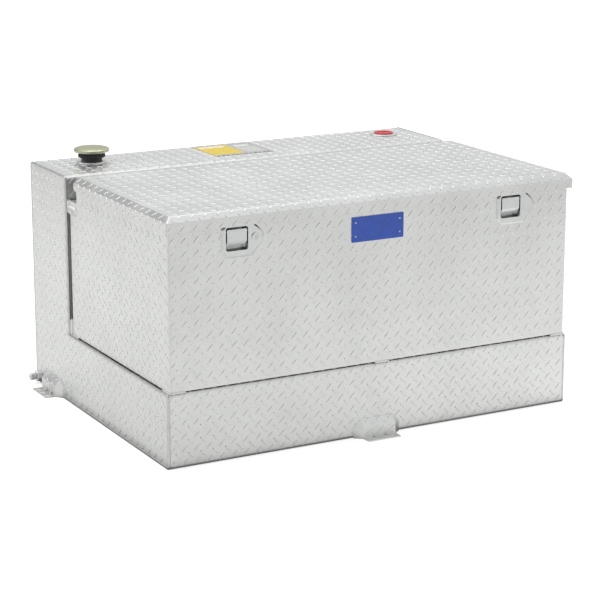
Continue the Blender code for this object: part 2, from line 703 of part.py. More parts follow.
def make_lid():
    """Folded outer skin, foam core and inner pan, with a bevel round three sides."""
    outside = lid_profile(0.0, SKIRT_BOTTOM)
    skin = loft("lid_skin", [lid_ring(d, z) for d, z in outside], "tread_plate")
    side, front = LID_SIDE - LID_SHEET, LID_FRONT + LID_SHEET
    hollow = loft("cut", [lid_ring(d, z, side, front, LID_REAR - LID_SHEET)
                          for d, z in lid_profile(LID_SHEET, SKIRT_BOTTOM - REACH)], "tread_plate")
    flange_bottom = LID_TOP - LID_REAR_FLANGE
    rear_gap = box("cut", (-side, LID_REAR - LID_SHEET - TOUCH, SKIRT_BOTTOM - REACH),
                   (side, LID_REAR + REACH, flange_bottom), "tread_plate")
    notch = [(LID_REAR - SKIRT_NOTCH_LENGTH, SKIRT_BOTTOM), (LID_REAR, SKIRT_BOTTOM + SKIRT_NOTCH_HEIGHT),
             (LID_REAR + REACH, SKIRT_BOTTOM + SKIRT_NOTCH_HEIGHT), (LID_REAR + REACH, SKIRT_BOTTOM - REACH),
             (LID_REAR - SKIRT_NOTCH_LENGTH, SKIRT_BOTTOM - REACH)]
    chamfer = prism("cut", notch, "X", -LID_SIDE - REACH, LID_SIDE + REACH, "tread_plate")
    cut(skin, hollow, rear_gap, chamfer)
    smooth(skin)

    pan_side, pan_front, pan_rear = side - TOUCH, front + TOUCH, LID_REAR - LID_SHEET - TOUCH
    heights = (PAN_BOTTOM, PAN_BOTTOM + LID_PAN_SHEET)
    loft("lid_pan", [lid_ring(0, z, pan_side, pan_front, pan_rear) for z in heights], "plain_aluminium")
    core_low = PAN_BOTTOM + LID_PAN_SHEET + TOUCH
    core_side, core_front = pan_side - LID_PAN_SHEET - TOUCH, pan_front + LID_PAN_SHEET + TOUCH
    core_rear = pan_rear - LID_PAN_SHEET - TOUCH
    shoulder = BEVEL_BOTTOM - LID_SHEET
    step = LID_BEVEL + LID_SHEET - LID_PAN_SHEET
    levels = [(0, core_low), (0, shoulder - TOUCH), (step, LID_TOP - LID_SHEET - TOUCH)]
    loft("lid_core", [lid_ring(d, z, core_side, core_front, core_rear) for d, z in levels], "foam")


def knuckle_outline(up):
    """A hinge knuckle with the web that joins it to its leaf; up is 1 for the lid's leaf."""
    web = HINGE_RADIUS + 3 * KNUCKLE_PLAY
    inner_y = GUTTER_WALL + TOUCH + HINGE_LEAF
    lift = math.sqrt(HINGE_RADIUS ** 2 - (HINGE_Y - inner_y) ** 2)
    start = math.degrees(math.atan2(lift, inner_y - HINGE_Y))
    points = arc((0, 0), HINGE_RADIUS, start, -180, 12)
    points += [(-HINGE_RADIUS, web), (inner_y - HINGE_Y, web)]
    return [(HINGE_Y + y, HINGE_Z + up * z) for y, z in points]


def make_leaf(name, up, height, first):
    """A leaf of the piano hinge: a strip with every second knuckle, bored for the pin."""
    length = 2 * (CHEST_SIDE - HINGE_END_MARGIN)
    count = int(length // KNUCKLE_PITCH)
    pitch = length / count
    near = HINGE_Z + up * (HINGE_RADIUS + 2 * KNUCKLE_PLAY)
    far = HINGE_Z + up * height
    strip = rectangle(GUTTER_WALL + TOUCH, GUTTER_WALL + TOUCH + HINGE_LEAF, min(near, far), max(near, far))
    leaf = prism(name, strip, "X", -length / 2, length / 2, "zinc_steel")
    bm = bmesh.new()
    for index in range(first, count, 2):
        start = -length / 2 + index * pitch + KNUCKLE_PLAY / 2
        face = bm.faces.new([bm.verts.new((start, y, z)) for y, z in knuckle_outline(up)])
        extruded = bmesh.ops.extrude_face_region(bm, geom=[face])
        moved = [item for item in extruded["geom"] if isinstance(item, bmesh.types.BMVert)]
        bmesh.ops.translate(bm, verts=moved, vec=(pitch - KNUCKLE_PLAY, 0, 0))
    fuse(leaf, build("knuckles", bm, "zinc_steel"))
    bore = rod("cut", (0, HINGE_Y, HINGE_Z), "X", HINGE_PIN_RADIUS + RUNNING, -SIDE, SIDE, "zinc_steel", 12)
    return smooth(cut(leaf, bore))


def make_hinge():
    """Full-length piano hinge between the gutter wall and the lid's rear flange."""
    make_leaf("hinge_leaf_chest", -1, CHEST_LEAF_HEIGHT, 0)
    make_leaf("hinge_leaf_lid", 1, LID_LEAF_HEIGHT, 1)
    reach = CHEST_SIDE - HINGE_END_MARGIN
    smooth(rod("hinge_pin", (0, HINGE_Y, HINGE_Z), "X", HINGE_PIN_RADIUS, -reach, reach, "zinc_steel", 12))


def opening_outline(x, margin=0.0):
    """The latch's square opening with round corners, as (x, z)."""
    half_width, half_height = OPENING_WIDTH / 2 + margin, OPENING_HEIGHT / 2 + margin
    return fillet(rectangle(x - half_width, x + half_width, LATCH_Z - half_height, LATCH_Z + half_height),
                  OPENING_CORNER + margin)


def plate_outline(x):
    """The latch plate: a rectangle with two cut corners, drawn out to a round lobe at the right."""
    left, right = x - PLATE_LEFT, x + PLATE_RIGHT
    low, high = LATCH_Z - PLATE_BOTTOM, LATCH_Z + PLATE_TOP
    lobe = (x + LOBE_OFFSET, LATCH_Z)

    def touch_angle(corner, hand):
        away = math.degrees(math.atan2(corner[1] - lobe[1], corner[0] - lobe[0]))
        distance = math.dist(corner, lobe)
        return away + hand * math.degrees(math.acos(LOBE_RADIUS / distance))

    first = touch_angle((right, low), 1)
    last = touch_angle((right, high), -1)
    corners = fillet([(right, high), (left + PLATE_CHAMFER, high), (left, high - PLATE_CHAMFER),
                      (left, low + PLATE_CHAMFER), (left + PLATE_CHAMFER, low), (right, low)],
                     [0, PLATE_CORNER, PLATE_CORNER, PLATE_CORNER, PLATE_CORNER, 0], closed=False)
    return corners + arc(lobe, LOBE_RADIUS, first, last, 10)


def lock_centre():
    """Centre of the left latch's lock, on the chest's front face."""
    return (-LATCH_X + LOBE_OFFSET, FRONT, LATCH_Z)


def make_dish(hand, x):
    """The pressed latch plate, proud of the wall with a bevelled border, and the recess in it.

    The exact solver loses the union of plate and recess, so the manifold one makes this piece.
    """
    front = FRONT - DISH_PROUD
    outline = plate_outline(x)

    def shell(wall, back):
        outer = inset(outline, wall) if wall else outline
        field = inset(outline, DISH_BORDER + wall)
        rings = [[(px, back, pz) for px, pz in outer], [(px, front + wall, pz) for px, pz in field]]
        if wall:
            rings.insert(1, [(px, FRONT - TOUCH, pz) for px, pz in outer])
        return loft(f"latch_{hand}_dish", rings, "stainless")

    dish = shell(0.0, FRONT - TOUCH)
    cut(dish, shell(DISH_SHEET, FRONT + REACH), solver="MANIFOLD")
    fuse(dish, prism("recess", opening_outline(x, DISH_SHEET), "Y", front + DISH_SHEET / 4,
                     FRONT + DISH_DEPTH, "stainless"), solver="MANIFOLD")
    cut(dish, prism("cut", opening_outline(x), "Y", front - REACH, FRONT + DISH_DEPTH - DISH_SHEET,
                    "stainless"), solver="MANIFOLD")
    if hand == "left":
        cut(dish, rod("cut", lock_centre(), "Y", LOCK_BARREL + TOUCH, -REACH, REACH, "stainless"),
            solver="MANIFOLD")
    return smooth(dish, 20)


def paddle_axis():
    """Depth and height of the paddle's pin."""
    top = LATCH_Z + OPENING_HEIGHT / 2 - PADDLE_TOP_GAP
    return (FRONT - DISH_PROUD + PADDLE_SHEET / 2 + PADDLE_KNUCKLE, top - PADDLE_KNUCKLE - PADDLE_TOP_LIP)


def make_paddle(hand, x):
    """The pull paddle: flat above, scooped inwards below, with a knuckle each side of its spring."""
    top = LATCH_Z + OPENING_HEIGHT / 2 - PADDLE_TOP_GAP
    bottom = LATCH_Z - OPENING_HEIGHT / 2 + PADDLE_BOTTOM_GAP
    crease = top - (top - bottom) * PADDLE_CREASE
    face = FRONT - DISH_PROUD
    path = [(face, top), (face, crease), (face + PADDLE_SCOOP, bottom)]
    slope = Vector((PADDLE_SCOOP, bottom - crease)).normalized()
    back = PADDLE_SHEET * math.tan(math.atan2(slope[0], -slope[1]) / 2)
    outline = path + [(face + PADDLE_SCOOP - slope[1] * PADDLE_SHEET, bottom + slope[0] * PADDLE_SHEET),
                      (face + PADDLE_SHEET, crease + back), (face + PADDLE_SHEET, top)]
    half = OPENING_WIDTH / 2 - PADDLE_SIDE_GAP
    paddle = prism(f"latch_{hand}_paddle", outline, "X", x - half, x + half, "stainless")
    y, z = paddle_axis()
    for low, high in ((-half, -SPRING_SPAN / 2), (SPRING_SPAN / 2, half)):
        fuse(paddle, rod("knuckle", (x, y, z), "X", PADDLE_KNUCKLE, low, high, "stainless", 16))
    cut(paddle, rod("cut", (x, y, z), "X", PADDLE_PIN + RUNNING, -half - REACH, half + REACH, "stainless",
                    16))
    pivot(smooth(paddle), (x, y, z))
    reach = OPENING_WIDTH / 2 - TOUCH
    smooth(rod(f"latch_{hand}_pin", (x, y, z), "X", PADDLE_PIN, -reach, reach, "zinc_steel", 16))
    make_spring(hand, x, y, z)


def make_spring(hand, x, y, z):
    """A torsion spring wound round the paddle's pin."""
    radius = PADDLE_PIN + SPRING_WIRE + 2 * RUNNING
    wire = bpy.data.curves.new(f"latch_{hand}_spring", "CURVE")
    wire.dimensions = "3D"
    wire.bevel_depth = SPRING_WIRE
    wire.bevel_resolution = 1
    wire.use_fill_caps = True
    steps = 12 * SPRING_TURNS
    length = SPRING_SPAN - 4 * SPRING_WIRE
    coil = wire.splines.new("POLY")
    coil.points.add(steps)
    for k in range(steps + 1):
        angle = 2 * math.pi * k / 12
        along = x - length / 2 + length * k / steps
        coil.points[k].co = (along, y + radius * math.cos(angle), z + radius * math.sin(angle), 1)
    wire.materials.append(material("zinc_steel"))
    spring = bpy.data.objects.new(f"latch_{hand}_spring", wire)
    bpy.context.scene.collection.objects.link(spring)


def catch_axis():
    """Depth and height of the catch's pin."""
    return (FRONT + CATCH_SETBACK, LATCH_Z - CATCH_DROP)


def make_catch(hand, x):
    """The hook that swings over the striker bar, its pin, and the bracket that carries both."""
    y, z = catch_axis()
    inner = CATCH_THROW + STRIKER_BAR + STRIKER_PLAY
    outer = inner + CATCH_LIP
    half_lip = math.radians(CATCH_LIP_END - CATCH_LIP_START) / 2
    lip = arc((y, z), outer, CATCH_ARM_START, CATCH_LIP_END, 8)
    lip += arc((y, z), inner / math.cos(half_lip), CATCH_LIP_END, CATCH_LIP_START, 1)
    root = CATCH_HUB * 0.6
    lip += arc((y, z), root, CATCH_LIP_START, CATCH_ARM_START, 1)
    catch = prism(f"catch_{hand}", lip, "X", x - CATCH_SHEET / 2, x + CATCH_SHEET / 2, "zinc_steel")
    fuse(catch, rod("hub", (x, y, z), "X", CATCH_HUB, -CATCH_SHEET / 2, CATCH_SHEET / 2, "zinc_steel"))
    cut(catch, rod("cut", (x, y, z), "X", CATCH_PIN + RUNNING, -REACH, REACH, "zinc_steel", 16))
    pivot(catch, (x, y, z))
    half = BRACKET_HALF_WIDTH
    smooth(rod(f"catch_{hand}_pin", (x, y, z), "X", CATCH_PIN, -half, half, "zinc_steel", 16))
    base = FRONT + DISH_DEPTH + TOUCH
    end = y + BRACKET_HALF_HEIGHT
    outline = fillet(rectangle(base, end, z - BRACKET_HALF_HEIGHT, z + BRACKET_HALF_HEIGHT),
                     [0, BRACKET_HALF_HEIGHT * 0.9, BRACKET_HALF_HEIGHT * 0.9, 0], 4)
    bracket = prism(f"catch_{hand}_bracket", outline, "X", x - half, x + half, "zinc_steel")
    gap = box("cut", (x - half + BRACKET_SHEET, base + BRACKET_SHEET, z - REACH - BRACKET_HALF_HEIGHT),
              (x + half - BRACKET_SHEET, end + REACH, z + REACH + BRACKET_HALF_HEIGHT), "zinc_steel")
    hole = rod("cut", (x, y, z), "X", CATCH_PIN + RUNNING, -half - REACH, half + REACH, "zinc_steel", 16)
    cut(bracket, gap, hole)


def make_striker(hand, x):
    """A bar on two cheeks under the lid, which the catch hooks over."""
    y, z = catch_axis()
    z += CATCH_THROW
    top = PAN_BOTTOM - TOUCH
    half = STRIKER_HALF_WIDTH
    low = z - STRIKER_BAR - STRIKER_SHEET
    outline = [(y - STRIKER_LENGTH / 2, top), (y - STRIKER_BAR * 1.5, low), (y + STRIKER_BAR * 1.5, low),
               (y + STRIKER_LENGTH / 2, top)]
    striker = prism(f"striker_{hand}", outline, "X", x - half, x + half, "zinc_steel")
    gap = box("cut", (x - half + STRIKER_SHEET, y - STRIKER_LENGTH, low - REACH),
              (x + half - STRIKER_SHEET, y + STRIKER_LENGTH, top - STRIKER_SHEET), "zinc_steel")
    cut(striker, gap)
    fuse(striker, rod("bar", (x, y, z), "X", STRIKER_BAR, -half + STRIKER_SHEET / 2, half - STRIKER_SHEET / 2,
                      "zinc_steel", 16))


def make_lock():
    """Key lock in the left latch's lobe: body, turning plug with a key slot, and cam."""
    x, _, z = lock_centre()
    face = FRONT - DISH_PROUD - LOCK_FACE_PROUD
    seat = FRONT - DISH_PROUD - TOUCH
    bore = LOCK_PLUG + RUNNING
    back = face + LOCK_LENGTH
    centre = (x, 0, z)
    body = [(bore, face), (LOCK_FACE - LOCK_EDGE, face), (LOCK_FACE, face + LOCK_EDGE / 2), (LOCK_FACE, seat),
            (LOCK_BARREL, seat), (LOCK_BARREL, back), (bore, back)]
    smooth(revolve("lock_body", body, centre, "Y", "stainless", ROUND))
    plug = rod("lock_plug", centre, "Y", LOCK_PLUG, face + LOCK_EDGE, back + TOUCH, "stainless", ROUND)
    slot = box("cut", (x - KEY_SLOT_WIDTH / 2, face - REACH, z - KEY_SLOT_LENGTH / 2),
               (x + KEY_SLOT_WIDTH / 2, face + KEY_SLOT_DEPTH, z + KEY_SLOT_LENGTH / 2), "stainless")
    pivot(smooth(cut(plug, slot)), (x, face, z))
    low = back + 2 * TOUCH
    half = LOCK_CAM_WIDTH / 2
    outline = fillet(rectangle(x - half, x + half, z - LOCK_CAM_LENGTH, z + half), half * 0.9)
    pivot(prism("lock_cam", outline, "Y", low, low + LOCK_CAM_SHEET, "zinc_steel"), (x, low, z))


def strut_points():
    """Foot and head pivots of a strut with the lid shut, as (y, z)."""
    return ((GUTTER_WALL - STRUT_FOOT_SETBACK, RIM - STRUT_FOOT_DROP),
            (GUTTER_WALL - STRUT_HEAD_SETBACK, RIM - STRUT_HEAD_DROP))


def make_strut(hand, sign):
    """A gas strut: tube with an eye on the foot stud, rod with a socket at the head stud."""
    x = sign * (CHEST_SIDE - STRUT_INSET)
    foot, head = strut_points()
    length = math.dist(foot, head)
    lean = math.atan2(head[0] - foot[0], head[1] - foot[1])
    stand = Matrix.Translation((x, foot[0], foot[1])) @ Matrix.Rotation(-lean, 4, "X")
    origin = (0, 0, 0)

    bottom, top = 0.7 * STRUT_EYE, STRUT_TUBE_LENGTH
    floor = STRUT_EYE + 2 * STRUT_STUD
    gland = STRUT_ROD + RUNNING
    tube_profile = [(0, bottom), (STRUT_TUBE, bottom), (STRUT_TUBE, top), (gland, top),
                    (gland, top - STRUT_GLAND), (STRUT_BORE, top - STRUT_GLAND), (STRUT_BORE, floor),
                    (0, floor)]
    tube = revolve(f"strut_{hand}_tube", tube_profile, origin, "Z", "black_paint", ROUND)
    half = STRUT_EYE_WIDTH / 2
    fuse(tube, rod("eye", origin, "X", STRUT_EYE, -half, half, "black_paint", ROUND))
    cut(tube, rod("cut", origin, "X", STRUT_STUD + RUNNING, -REACH, REACH, "black_paint", 16))
    smooth(tube).data.transform(stand)
    pivot(tube, (x, *foot))

    low = floor + STRUT_PISTON
    rod_profile = [(0, low), (STRUT_BORE - RUNNING, low), (STRUT_BORE - RUNNING, low + STRUT_PISTON),
                   (STRUT_ROD, low + STRUT_PISTON), (STRUT_ROD, length - STRUT_SOCKET / 2),
                   (0, length - STRUT_SOCKET / 2)]
    shaft = revolve(f"strut_{hand}_rod", rod_profile, origin, "Z", "stainless", ROUND)
    half = STRUT_SOCKET_WIDTH / 2
    fuse(shaft, rod("socket", (0, 0, length), "X", STRUT_SOCKET, -half, half, "stainless", ROUND))
    smooth(shaft).data.transform(stand)
    pivot(shaft, (x, *head))

    plate_half = STRUT_PLATE_SIZE / 2
    wall = CHEST_SIDE - CHEST_SHEET - TOUCH
    xs = sorted((sign * wall, sign * (wall - STRUT_PLATE)))
    outline = fillet(rectangle(foot[0] - plate_half, foot[0] + plate_half, foot[1] - plate_half,
                               foot[1] + plate_half), STRUT_PLATE_CORNER)
    base = prism(f"strut_{hand}_foot", outline, "X", xs[0], xs[1], "zinc_steel")
    xs = sorted((sign * (wall - STRUT_PLATE / 2), x - sign * (STRUT_EYE_WIDTH / 2 + STRUT_FOOT_PLAY)))
    fuse(base, rod("stud", (0, *foot), "X", STRUT_STUD, xs[0], xs[1], "zinc_steel", 16))

    near = x + sign * (STRUT_SOCKET_WIDTH / 2 + STRUT_SIDE_PLAY)
    web = near + sign * STRUT_HEAD_STUD
    ceiling = PAN_BOTTOM - TOUCH
    xs = sorted((web, web + sign * STRUT_PLATE))
    cheek = [(head[0] - plate_half, ceiling), (head[0] - STRUT_SOCKET, head[1] - STRUT_SOCKET),
             (head[0] + STRUT_SOCKET, head[1] - STRUT_SOCKET), (head[0] + plate_half, ceiling)]
    bracket = prism(f"strut_{hand}_head", cheek, "X", xs[0], xs[1], "zinc_steel")
    xs = sorted((web + sign * STRUT_PLATE / 2, x - sign * STRUT_SOCKET_WIDTH / 2))
    flat = box("flat", (xs[0], head[0] - plate_half, ceiling - STRUT_PLATE),
               (xs[1], head[0] + plate_half, ceiling), "zinc_steel")
    xs = sorted((web + sign * STRUT_PLATE / 2, near))
    fuse(bracket, flat, rod("stud", (0, *head), "X", STRUT_STUD, xs[0], xs[1], "zinc_steel", 16))


def make_plates():
    """The bare name plate on the chest's front and the label film on the tank's top."""
    half, middle = NAME_PLATE[0] / 2, RIM - NAME_PLATE_DROP
    outline = fillet(rectangle(NAME_PLATE_OFFSET - half, NAME_PLATE_OFFSET + half,
                               middle - NAME_PLATE[2] / 2, middle + NAME_PLATE[2] / 2), NAME_PLATE_CORNER)
    back = FRONT - TOUCH
    prism("name_plate", outline, "Y", back - NAME_PLATE[1], back, "blue_plate")
    x, y = LABEL_OFFSET, REAR - LABEL_SETBACK
    low = TANK_HEIGHT + TOUCH
    box("fill_label", (x - LABEL[0] / 2, y - LABEL[1] / 2, low),
        (x + LABEL[0] / 2, y + LABEL[1] / 2, low + LABEL[2]), "label_film")


def main():
    for old in list(bpy.data.objects):
        bpy.data.objects.remove(old, do_unlink=True)
    make_tank()
    make_feet()
    make_filler()
    make_pump_port()
    make_drain()
    make_chest()
    make_welds()
    make_lid()
    make_hinge()
    for hand, x in (("left", -LATCH_X), ("right", LATCH_X)):
        make_dish(hand, x)
        make_paddle(hand, x)
        make_catch(hand, x)
        make_striker(hand, x)
    make_lock()
    for hand, sign in (("left", -1), ("right", 1)):
        make_strut(hand, sign)
    make_plates()


main()
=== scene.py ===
"""Looks of the truck bed transfer tank: tread lugs, weld beads, finishes, light and camera.

Metres, +Z up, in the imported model's frame. Shapes are numpy surfaces and materials are node trees.
"""
import json
import math

import bpy
import numpy as np
from mathutils import Matrix, Vector


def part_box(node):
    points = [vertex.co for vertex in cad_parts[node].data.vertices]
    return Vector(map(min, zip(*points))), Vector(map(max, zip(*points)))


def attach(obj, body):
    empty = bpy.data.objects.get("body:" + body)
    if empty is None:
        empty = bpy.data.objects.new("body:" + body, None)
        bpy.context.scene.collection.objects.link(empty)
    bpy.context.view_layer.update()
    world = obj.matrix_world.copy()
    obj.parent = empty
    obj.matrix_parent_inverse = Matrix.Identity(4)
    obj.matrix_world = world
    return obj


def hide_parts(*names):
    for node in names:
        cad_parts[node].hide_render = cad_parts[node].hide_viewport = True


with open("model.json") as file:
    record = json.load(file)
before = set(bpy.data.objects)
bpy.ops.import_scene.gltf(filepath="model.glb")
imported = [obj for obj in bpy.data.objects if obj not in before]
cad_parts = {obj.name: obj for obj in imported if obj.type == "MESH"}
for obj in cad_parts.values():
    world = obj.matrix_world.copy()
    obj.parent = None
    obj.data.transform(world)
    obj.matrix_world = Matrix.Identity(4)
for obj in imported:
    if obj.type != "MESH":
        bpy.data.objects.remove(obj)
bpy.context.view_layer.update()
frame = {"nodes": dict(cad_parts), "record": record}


def span(name):
    """Lowest and highest corner of a node, as arrays."""
    low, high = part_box(name)
    return np.array(low), np.array(high)


def middle_of(name):
    """Middle of a node's box."""
    low, high = span(name)
    return (low + high) / 2


# Planes of the tank, the chest and the lid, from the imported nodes
TOUCH = 0.0003            # gap that the CAD pieces keep to each other
TANK_LOW = span("tank_end_left")[0]
TANK_HIGH = span("tank_end_right")[1]
CHEST_LOW, CHEST_HIGH = span("chest_body")
LID_LOW, LID_HIGH = span("lid_skin")
STEP = span("weld_front_middle")[0][2] - TOUCH
WALL = span("weld_wall_left")[1][1] + TOUCH
GUTTER_FLOOR = span("weld_wall_left")[1][2]
GUTTER_WALL = LID_HIGH[1]
TANK_BEND = 0.008
CHEST_BEND = 0.006
LID_BEND = 0.004
LID_BEVEL = 0.015
UP = np.array([0.0, 0.0, 1.0])
RIGHT = np.array([1.0, 0.0, 0.0])
BACK = np.array([0.0, 1.0, 0.0])

# Pitches of the tread plate's lugs that lean the same way, along a sheet's axis and along its path
LUG_PITCH = 0.0254 * math.sqrt(2)
EVEN = (LUG_PITCH, LUG_PITCH)
TANK_FRONT_PITCH = (0.0357, 0.0357)
TANK_TOP_PITCH = (0.0353, 0.0381)
TANK_END_PITCH = (0.0385, 0.0352)
CHEST_FRONT_PITCH = (0.0363, 0.0353)
CHEST_SIDE_PITCH = (0.0367, 0.0358)
LID_FRONT_PITCH = (0.0372, 0.0372)
LID_TOP_PITCH = (0.0364, 0.0395)
LID_SIDE_PITCH = (0.0384, 0.0364)

# One lug's form and the room round it
LUG_LENGTH = 0.0250
LUG_WIDTH = 0.0056
LUG_HEIGHT = 0.0014
LUG_SUNK = 0.0004         # how far a lug's underside lies in the sheet
LUG_RINGS = (-0.88, -0.5, 0.5, 0.88)
LUG_TAPER = 0.6
CROWN_SHARE = 0.42        # of a lug's width, flat on its crown
SEAM_MARGIN = 0.0095      # bare band along the tank's end seams
WRAP_MARGIN = 0.003       # bare strip at the first and last edge of the tank's wrap
SLACK = 0.002             # by which a place may miss a face or a fitting's edge and still count as on it
PLATE_COVER = 0.010       # depth within the name plate's edge from which lugs are left out
DISH_COVER = 0.003        # the same for a latch's plate
LABEL_RISE = 0.0003       # lift of the lugs that show through the label
DRAIN_ROOM = 0.004        # from the drain fitting to the nearest lug's middle
RETURN_ROOM = 0.009       # from the chest's front sheet to the middle of a side lug
TOP_ROOM = 0.008          # from the lid's side bevels to the middle of a lug on its top
LID_NOTCH = (0.020, 0.009)  # length and height of the corner cut off at the lower rear of each lid side

# Weld beads
SEAM_RADIUS = 0.0046
SEAM_INSET = 0.0034
SEAM_CORNER = 0.005
SEAM_RIPPLE = 0.00012
BEAD_RADIUS = 0.0036
BEAD_INSET = 0.0022       # from a stitch's outer face to the bead's middle
BEAD_CORNER = 0.004
RIPPLE_PITCH = 0.0028
RIPPLE_DEPTH = 0.0004
WALL_BEAD_RADIUS = 0.0078
WALL_BEAD_INSET = 0.006
WALL_RIPPLE = 0.0009
LUMP_NEAR = 0.136         # depths between which a broad lump closes the chest's side to the wall
LUMP_FAR = 0.200
LUMP_RADIUS = 0.0170
LUMP_PROUD = 0.0065
LUMP_DROP = 0.004
LUMP_RIPPLE = 0.0014
FILL_LOW = 0.200          # heights between which weld fills the foot of the gap behind the chest's side
FILL_HIGH = 0.250
FILL_RADIUS = 0.0075
FILL_INSET = 0.004
FILL_RIPPLE = 0.0008


# Surfaces worked out with numpy


def make_piece(name, points, faces, body, finish, crown=None, sharp=None):
    """A mesh object from arrays, with its place in its mesh, that rides on a body."""
    mesh = bpy.data.meshes.new(name)
    mesh.from_pydata(points.reshape(-1, 3).tolist(), [], [tuple(int(k) for k in face) for face in faces])
    mesh.update()
    mesh.shade_smooth()
    if sharp is not None:
        mesh.set_sharp_from_angle(angle=math.radians(sharp))
    if crown is not None:
        layer = mesh.attributes.new("crown", "FLOAT", "POINT")
        layer.data.foreach_set("value", crown.astype(np.float32))
    mesh.materials.append(finish)
    piece = bpy.data.objects.new(name, mesh)
    bpy.context.scene.collection.objects.link(piece)
    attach(piece, body)
    return piece


def grid_faces(rows, columns, wrap_rows=False, wrap_columns=False, flip=False):
    """Quads of a grid of rows x columns points, closed along either way."""
    r = np.arange(rows if wrap_rows else rows - 1)
    c = np.arange(columns if wrap_columns else columns - 1)
    r, c = (a.ravel() for a in np.meshgrid(r, c, indexing="ij"))
    r_next, c_next = (r + 1) % rows, (c + 1) % columns
    row, row_next = r * columns, r_next * columns
    quads = np.stack([row + c, row + c_next, row_next + c_next, row_next + c], 1)
    return quads[:, ::-1] if flip else quads


def rounded(corners, radius, steps=6):
    """A polyline with its inner corners rounded.

    Each corner of turn angle t is replaced by an arc that starts and ends radius * tan(t / 2) from it.
    """
    corners = [np.array(c, float) for c in corners]
    radii = radius if isinstance(radius, (list, tuple)) else [radius] * len(corners)
    path = [corners[0]]
    for before, corner, after, bend in zip(corners, corners[1:], corners[2:], radii[1:]):
        come = (corner - before) / np.linalg.norm(corner - before)
        go = (after - corner) / np.linalg.norm(after - corner)
        turn = math.acos(np.clip(come @ go, -1, 1))
        run = bend * math.tan(turn / 2)
        side = go - come * (come @ go)
        side /= np.linalg.norm(side)
        start = corner - come * run
        for angle in np.linspace(0, turn, steps):
            path.append(start + come * bend * math.sin(angle) + side * bend * (1 - math.cos(angle)))
    path.append(corners[-1])
    return np.array(path)


class Sheet:
    """A folded sheet: a path of points swept along an axis.

    A place (u, v, h) is axis * u + path(v) + normal(v) * h, where v is the length along the path
    and the normal is the axis crossed with the path's direction.
    """

    def __init__(self, axis, path):
        self.axis = axis
        step = np.linalg.norm(np.diff(path, axis=0), axis=1)
        middle = np.concatenate([[0], np.cumsum(step)])
        tangent = np.diff(path, axis=0) / step[:, None]
        self.length = middle[-1]
        self.at = middle
        self.path = path
        # a stretch's normal holds along it, but for up to 1 mm at each end, where it turns to the next
        reach = np.minimum(step * 0.5, 0.001)
        self.normal_at = np.ravel(np.stack([middle[:-1] + reach, middle[1:] - reach], 1))
        self.normals = np.repeat(np.cross(axis, tangent), 2, axis=0)

    def place(self, u, v, h):
        """Points of the places (u, v, h), with path and normal read between their known points."""
        spot = np.stack([np.interp(v, self.at, self.path[:, k]) for k in range(3)], -1)
        normal = np.stack([np.interp(v, self.normal_at, self.normals[:, k]) for k in range(3)], -1)
        normal /= np.linalg.norm(normal, axis=-1, keepdims=True)
        return self.axis * u[..., None] + spot + normal * h[..., None]


def lug_form():
    """One lug as (along, across, height) points, faces and a 0 to 1 crown value.

    With t from -1 to 1 along the lug, the half width is W/2 * (1 - t^2)^0.6 and the crown's height is
    H * (1 - t^2)^0.5; each ring has two foot points and two crown points at 0.42 of the half width.
    """
    t = np.array(LUG_RINGS)
    count = len(t)
    half = LUG_WIDTH / 2 * (1 - t ** 2) ** LUG_TAPER
    top = LUG_HEIGHT * (1 - t ** 2) ** 0.5
    along = np.repeat(t * LUG_LENGTH / 2, 4)
    across = np.ravel(half[:, None] * np.array([-1, -CROWN_SHARE, CROWN_SHARE, 1]))
    height = np.ravel(top[:, None] * np.array([0, 1, 1, 0]) - LUG_SUNK * np.array([1, 0, 0, 1]))
    crown = np.tile([0.0, 1.0, 1.0, 0.0], count)
    tips = np.array([[-LUG_LENGTH / 2, 0, -LUG_SUNK], [LUG_LENGTH / 2, 0, -LUG_SUNK]])
    points = np.concatenate([np.stack([along, across, height], 1), tips])
    faces = grid_faces(count, 4, wrap_columns=True, flip=True).tolist()
    first_tip, last_tip, last_ring = 4 * count, 4 * count + 1, 4 * (count - 1)
    faces += [(first_tip, (k + 1) % 4, k) for k in range(4)]
    faces += [(last_tip, last_ring + k, last_ring + (k + 1) % 4) for k in range(4)]
    return points, faces, np.concatenate([crown, [0.0, 0.0]])


LUG_POINTS, LUG_FACES, LUG_CROWN = lug_form()


def lattice(u_phase, v_phase, u_range, v_range, pitches=EVEN, swap=False):
    """Centres and lean angles of the lugs in a rectangle.

    Lugs that lean one way lie at (phase + i * pitch, phase + j * pitch), and the others half a pitch
    further both ways. swap trades the two leans.
    """
    found = []
    for shift, lean in ((0.0, math.pi / 4), (0.5, 3 * math.pi / 4)):
        ticks = []
        for phase, (low, high), pitch in ((u_phase, u_range, pitches[0]), (v_phase, v_range, pitches[1])):
            start = phase + shift * pitch
            first, last = math.ceil((low - start) / pitch), math.floor((high - start) / pitch)
            ticks.append(start + pitch * np.arange(first, last + 1))
        u, v = (a.ravel() for a in np.meshgrid(*ticks, indexing="ij"))
        angle = math.pi - lean if swap else lean
        found.append(np.stack([u, v, np.full(u.size, angle)], 1))
    return np.concatenate(found)


